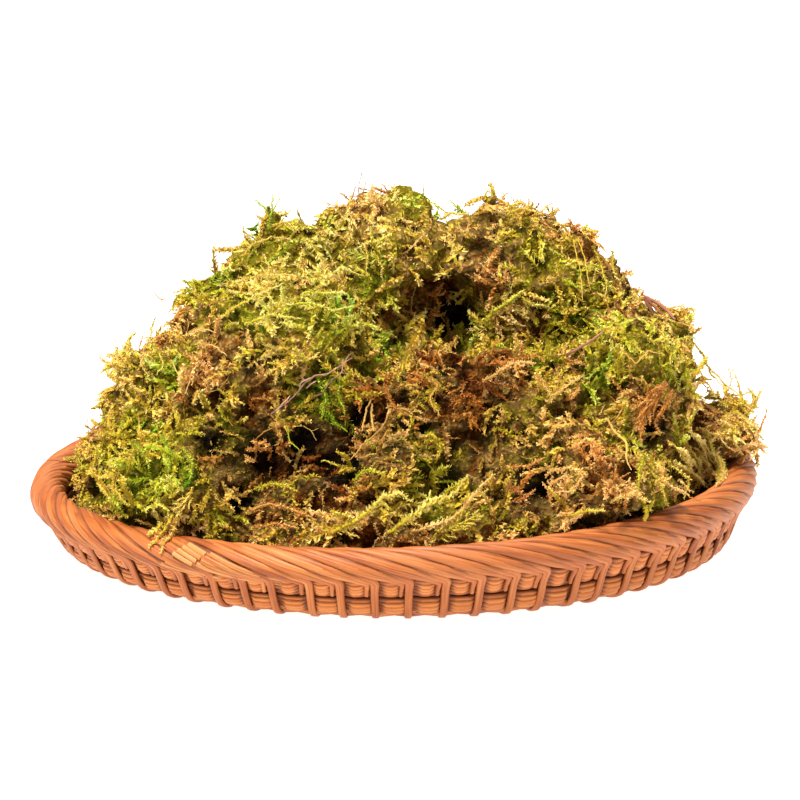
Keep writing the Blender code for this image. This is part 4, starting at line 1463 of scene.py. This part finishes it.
def laidSprigsTree():
    tree, given = newTree("laid sprigs", {
        "Leaves": "Collection", "Leafy": "Bool", "Sides": "Int", "Body Radius": "Float",
        "Leaf Spacing": "Float", "Leaf Size": "Float", "Turn Step": "Float", "Crumple": "Float",
    })
    seed = given["Seed"]
    curve = addNode(tree, "GeometryNodeMeshToCurve", inputs={"Mesh": given["Geometry"]})
    curve = addNode(tree, "GeometryNodeCurveSplineType", {"spline_type": "CATMULL_ROM"}, {
        "Curve": curve.outputs[0],
    })
    curve = addNode(tree, "GeometryNodeResampleCurve", {"mode": "LENGTH"}, {
        "Curve": curve.outputs[0], "Length": 0.9 * mm,
    })
    curve = addNode(tree, "GeometryNodeSetPosition", inputs={
        "Geometry": curve.outputs[0], "Offset": wavering(tree, 380.0, given["Crumple"]),
    })
    share = addNode(tree, "GeometryNodeSplineParameter").outputs["Factor"]
    size = calc(tree, "MULTIPLY", named(tree, "wide"), mapped(tree, share, 0.70, 1.0, 1.0, 0.45))
    curve = stored(tree, curve.outputs[0], "size", size)
    stem = stored(tree, curve, "along", mapped(tree, share, 0.0, 1.0, 0.20, 0.62))
    size = named(tree, "size")
    body = tube(tree, stem, ringProfile(tree, given, "Body Radius"),
                calc(tree, "MULTIPLY", size, between(tree, 0.7, 1.2, seed, 1)))
    spots = addNode(tree, "GeometryNodeCurveToPoints", {"mode": "LENGTH"}, {
        "Curve": curve, "Length": given["Leaf Spacing"],
    }).outputs
    number = addNode(tree, "GeometryNodeInputIndex").outputs[0]
    turn = calc(tree, "MULTIPLY_ADD", number, given["Turn Step"], between(tree, -0.5, 0.5, seed, 2))
    turned = addNode(tree, "FunctionNodeAxisAngleToRotation", inputs={
        "Axis": (1.0, 0.0, 0.0), "Angle": turn,
    })
    turned = addNode(tree, "FunctionNodeRotateRotation", {"rotation_space": "LOCAL"}, {
        "Rotation": facingAlong(tree, spots["Tangent"], spots["Normal"]), "Rotate By": turned.outputs[0],
    })
    scale = calc(tree, "MULTIPLY", calc(tree, "MULTIPLY", size, given["Leaf Size"]),
                 between(tree, 0.7, 1.3, seed, 3))
    leaves = scattered(tree, given, "Leaves", spots["Points"], turned.outputs[0], scale)
    leaves = addNode(tree, "GeometryNodeSwitch", {"input_type": "GEOMETRY"}, {
        "Switch": given["Leafy"], "True": leaves,
    })
    both = addNode(tree, "GeometryNodeJoinGeometry")
    tree.links.new(body, both.inputs[0])
    tree.links.new(leaves.outputs[0], both.inputs[0])
    return endTree(tree, given, both.outputs[0], mossChart(tree, 0.20))


surface = seenSurface(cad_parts["moss_clump"].data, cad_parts["border_and_stakes"].data)
sprigsTree = laidSprigsTree()
leafy = {
    "Leaves": leafCollection(), "Leafy": True, "Sides": 4, "Body Radius": 0.52 * mm,
    "Leaf Spacing": 0.22 * mm, "Leaf Size": 1.6 * mm, "Turn Step": math.radians(137.5),
    "Crumple": 2.4 * mm, "Seed": 3, "Finish": leafMoss,
}
bare = {
    **leafy, "Leafy": False, "Sides": 5, "Body Radius": 0.38 * mm, "Leaf Spacing": 1.0 * mm,
    "Leaf Size": 1.0 * mm, "Turn Step": 1.0, "Crumple": 1.2 * mm, "Seed": 4,
}


def laySprigs():
    ropes, straws = [], []
    for kind, lift, rows in laid:
        for tone, size, *points in rows:
            line = pairs(points)
            light = float(litAt(*(np.mean(line, axis=0) * mm)))
            thick = size * (laying["feather"]["stem"] if kind == "feather" else 1.0)
            made = straws if kind == "straw" else ropes
            made.append((thick, tone, light, laidLine(surface, line, lift)))
            for side in feathered(line, size, len(ropes)) if kind == "feather" else ():
                ropes.append((laying["feather"]["side"] * size, tone + 0.02, light,
                              laidLine(surface, side, lift + 0.3)))
    for name, paths, look in (("laid_sprigs", ropes, leafy), ("straws", straws, bare)):
        finishPiece(growPaths(name, paths, look), "moss", "moss_clump")


# The twig is a wisp of pinkish-brown strands, the stick is peeled and reddish, the bark is a dark flake
sticks = {
    "forked_twig": ("forked_dry_twig", "dry twig", ("#8A6250", "#C89A84", "#F0D8BE"), "dark_twig"),
    "thin_stick": ("thin_peeled_stick", "peeled stick", ("#8A5540", "#C48C74", "#E6BEA4"), "red_stick"),
    "bark_strip": ("bark_flake", "bark", ("#5A2E20", "#AA6C56", "#D8A890"), "bark"),
}


def laySticks():
    for node, (name, material, colours, slotName) in sticks.items():
        paths = []
        for number, (thick, *points) in enumerate(stickLines[node]):
            tone = 0.25 + 0.5 * ((number * 0.37) % 1.0)
            paths.append((thick, tone, 0.0, laidLine(surface, pairs(points), laying["stickLift"])))
        finish = dryPlant(material, tuple(zip((0.0, 0.5, 1.0), colours)), colours[-1])
        look = {**bare, "Body Radius": 0.78 * mm, "Crumple": 0.8 * mm, "Finish": finish}
        finishPiece(growPaths(name, paths, look), slotName, node)


laySprigs()
laySticks()
print("sprigs and sticks done")


# Studio: a white light table, soft light from above and the photograph's view
studio = {
    "floorSize": 6.0,
    "floorColour": "#BCBCBB",
    "tableGlow": 1.9,
    "lights": (
        # name, place, aimed at, size, watts
        ("soft box overhead", (-1.5, -1.5, 4.7), (0.0, 0.0, 0.05), 1.1, 440.0),
        ("soft box behind", (1.4, 2.6, 4.2), (0.0, 0.0, 0.06), 2.0, 90.0),
    ),
    "lightColour": (1.0, 0.945, 0.85),
    "sky": 0.30,
    "cameraPlace": laying["eye"],
    "lookAt": (0.00264, 0.00172, 0.05757),
    "lens": 240.0,
    "sensor": 36.0,
}


def makeStudio():
    scene = bpy.context.scene
    side = studio["floorSize"] / 2
    corners = [(-side, -side, 0), (side, -side, 0), (side, side, 0), (-side, side, 0)]
    mesh = newMesh("floor", corners, [], [(0, 1, 2, 3)])
    floor = newObject("floor", mesh)
    glass, _tree, _shader = newMaterial("light table", {
        "Base Color": linear(studio["floorColour"]), "Roughness": 0.9,
        "Emission Color": linear(studio["floorColour"]), "Emission Strength": studio["tableGlow"],
    })
    mesh.materials.append(glass)
    floor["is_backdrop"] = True

    for name, place, aim, size, watts in studio["lights"]:
        lamp = bpy.data.lights.new(name, "AREA")
        lamp.shape = "DISK"
        lamp.size = size
        lamp.energy = watts
        lamp.color = studio["lightColour"]
        holder = bpy.data.objects.new(name, lamp)
        holder.location = place
        holder.rotation_euler = (Vector(aim) - Vector(place)).to_track_quat("-Z", "Y").to_euler()
        scene.collection.objects.link(holder)

    world = bpy.data.worlds.new("white room")
    world.use_nodes = True
    sky = world.node_tree.nodes["Background"]
    sky.inputs["Color"].default_value = (1.0, 1.0, 1.0, 1.0)
    seen = addNode(world.node_tree, "ShaderNodeLightPath").outputs["Is Camera Ray"]
    fill(world.node_tree, sky, {"Strength": mapped(world.node_tree, seen, 0.0, 1.0, studio["sky"], 1.0)})
    scene.world = world
    scene.view_settings.view_transform = "Standard"

    camera = bpy.data.cameras.new("front view")
    camera.lens = studio["lens"]
    camera.sensor_width = studio["sensor"]
    stand = bpy.data.objects.new("front view", camera)
    stand.location = studio["cameraPlace"]
    ahead = Vector(studio["lookAt"]) - studio["cameraPlace"]
    stand.rotation_euler = ahead.to_track_quat("-Z", "Y").to_euler()
    scene.collection.objects.link(stand)
    scene.camera = stand


makeStudio()
dressedBox = [list(corner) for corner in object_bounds()]
print("studio done")
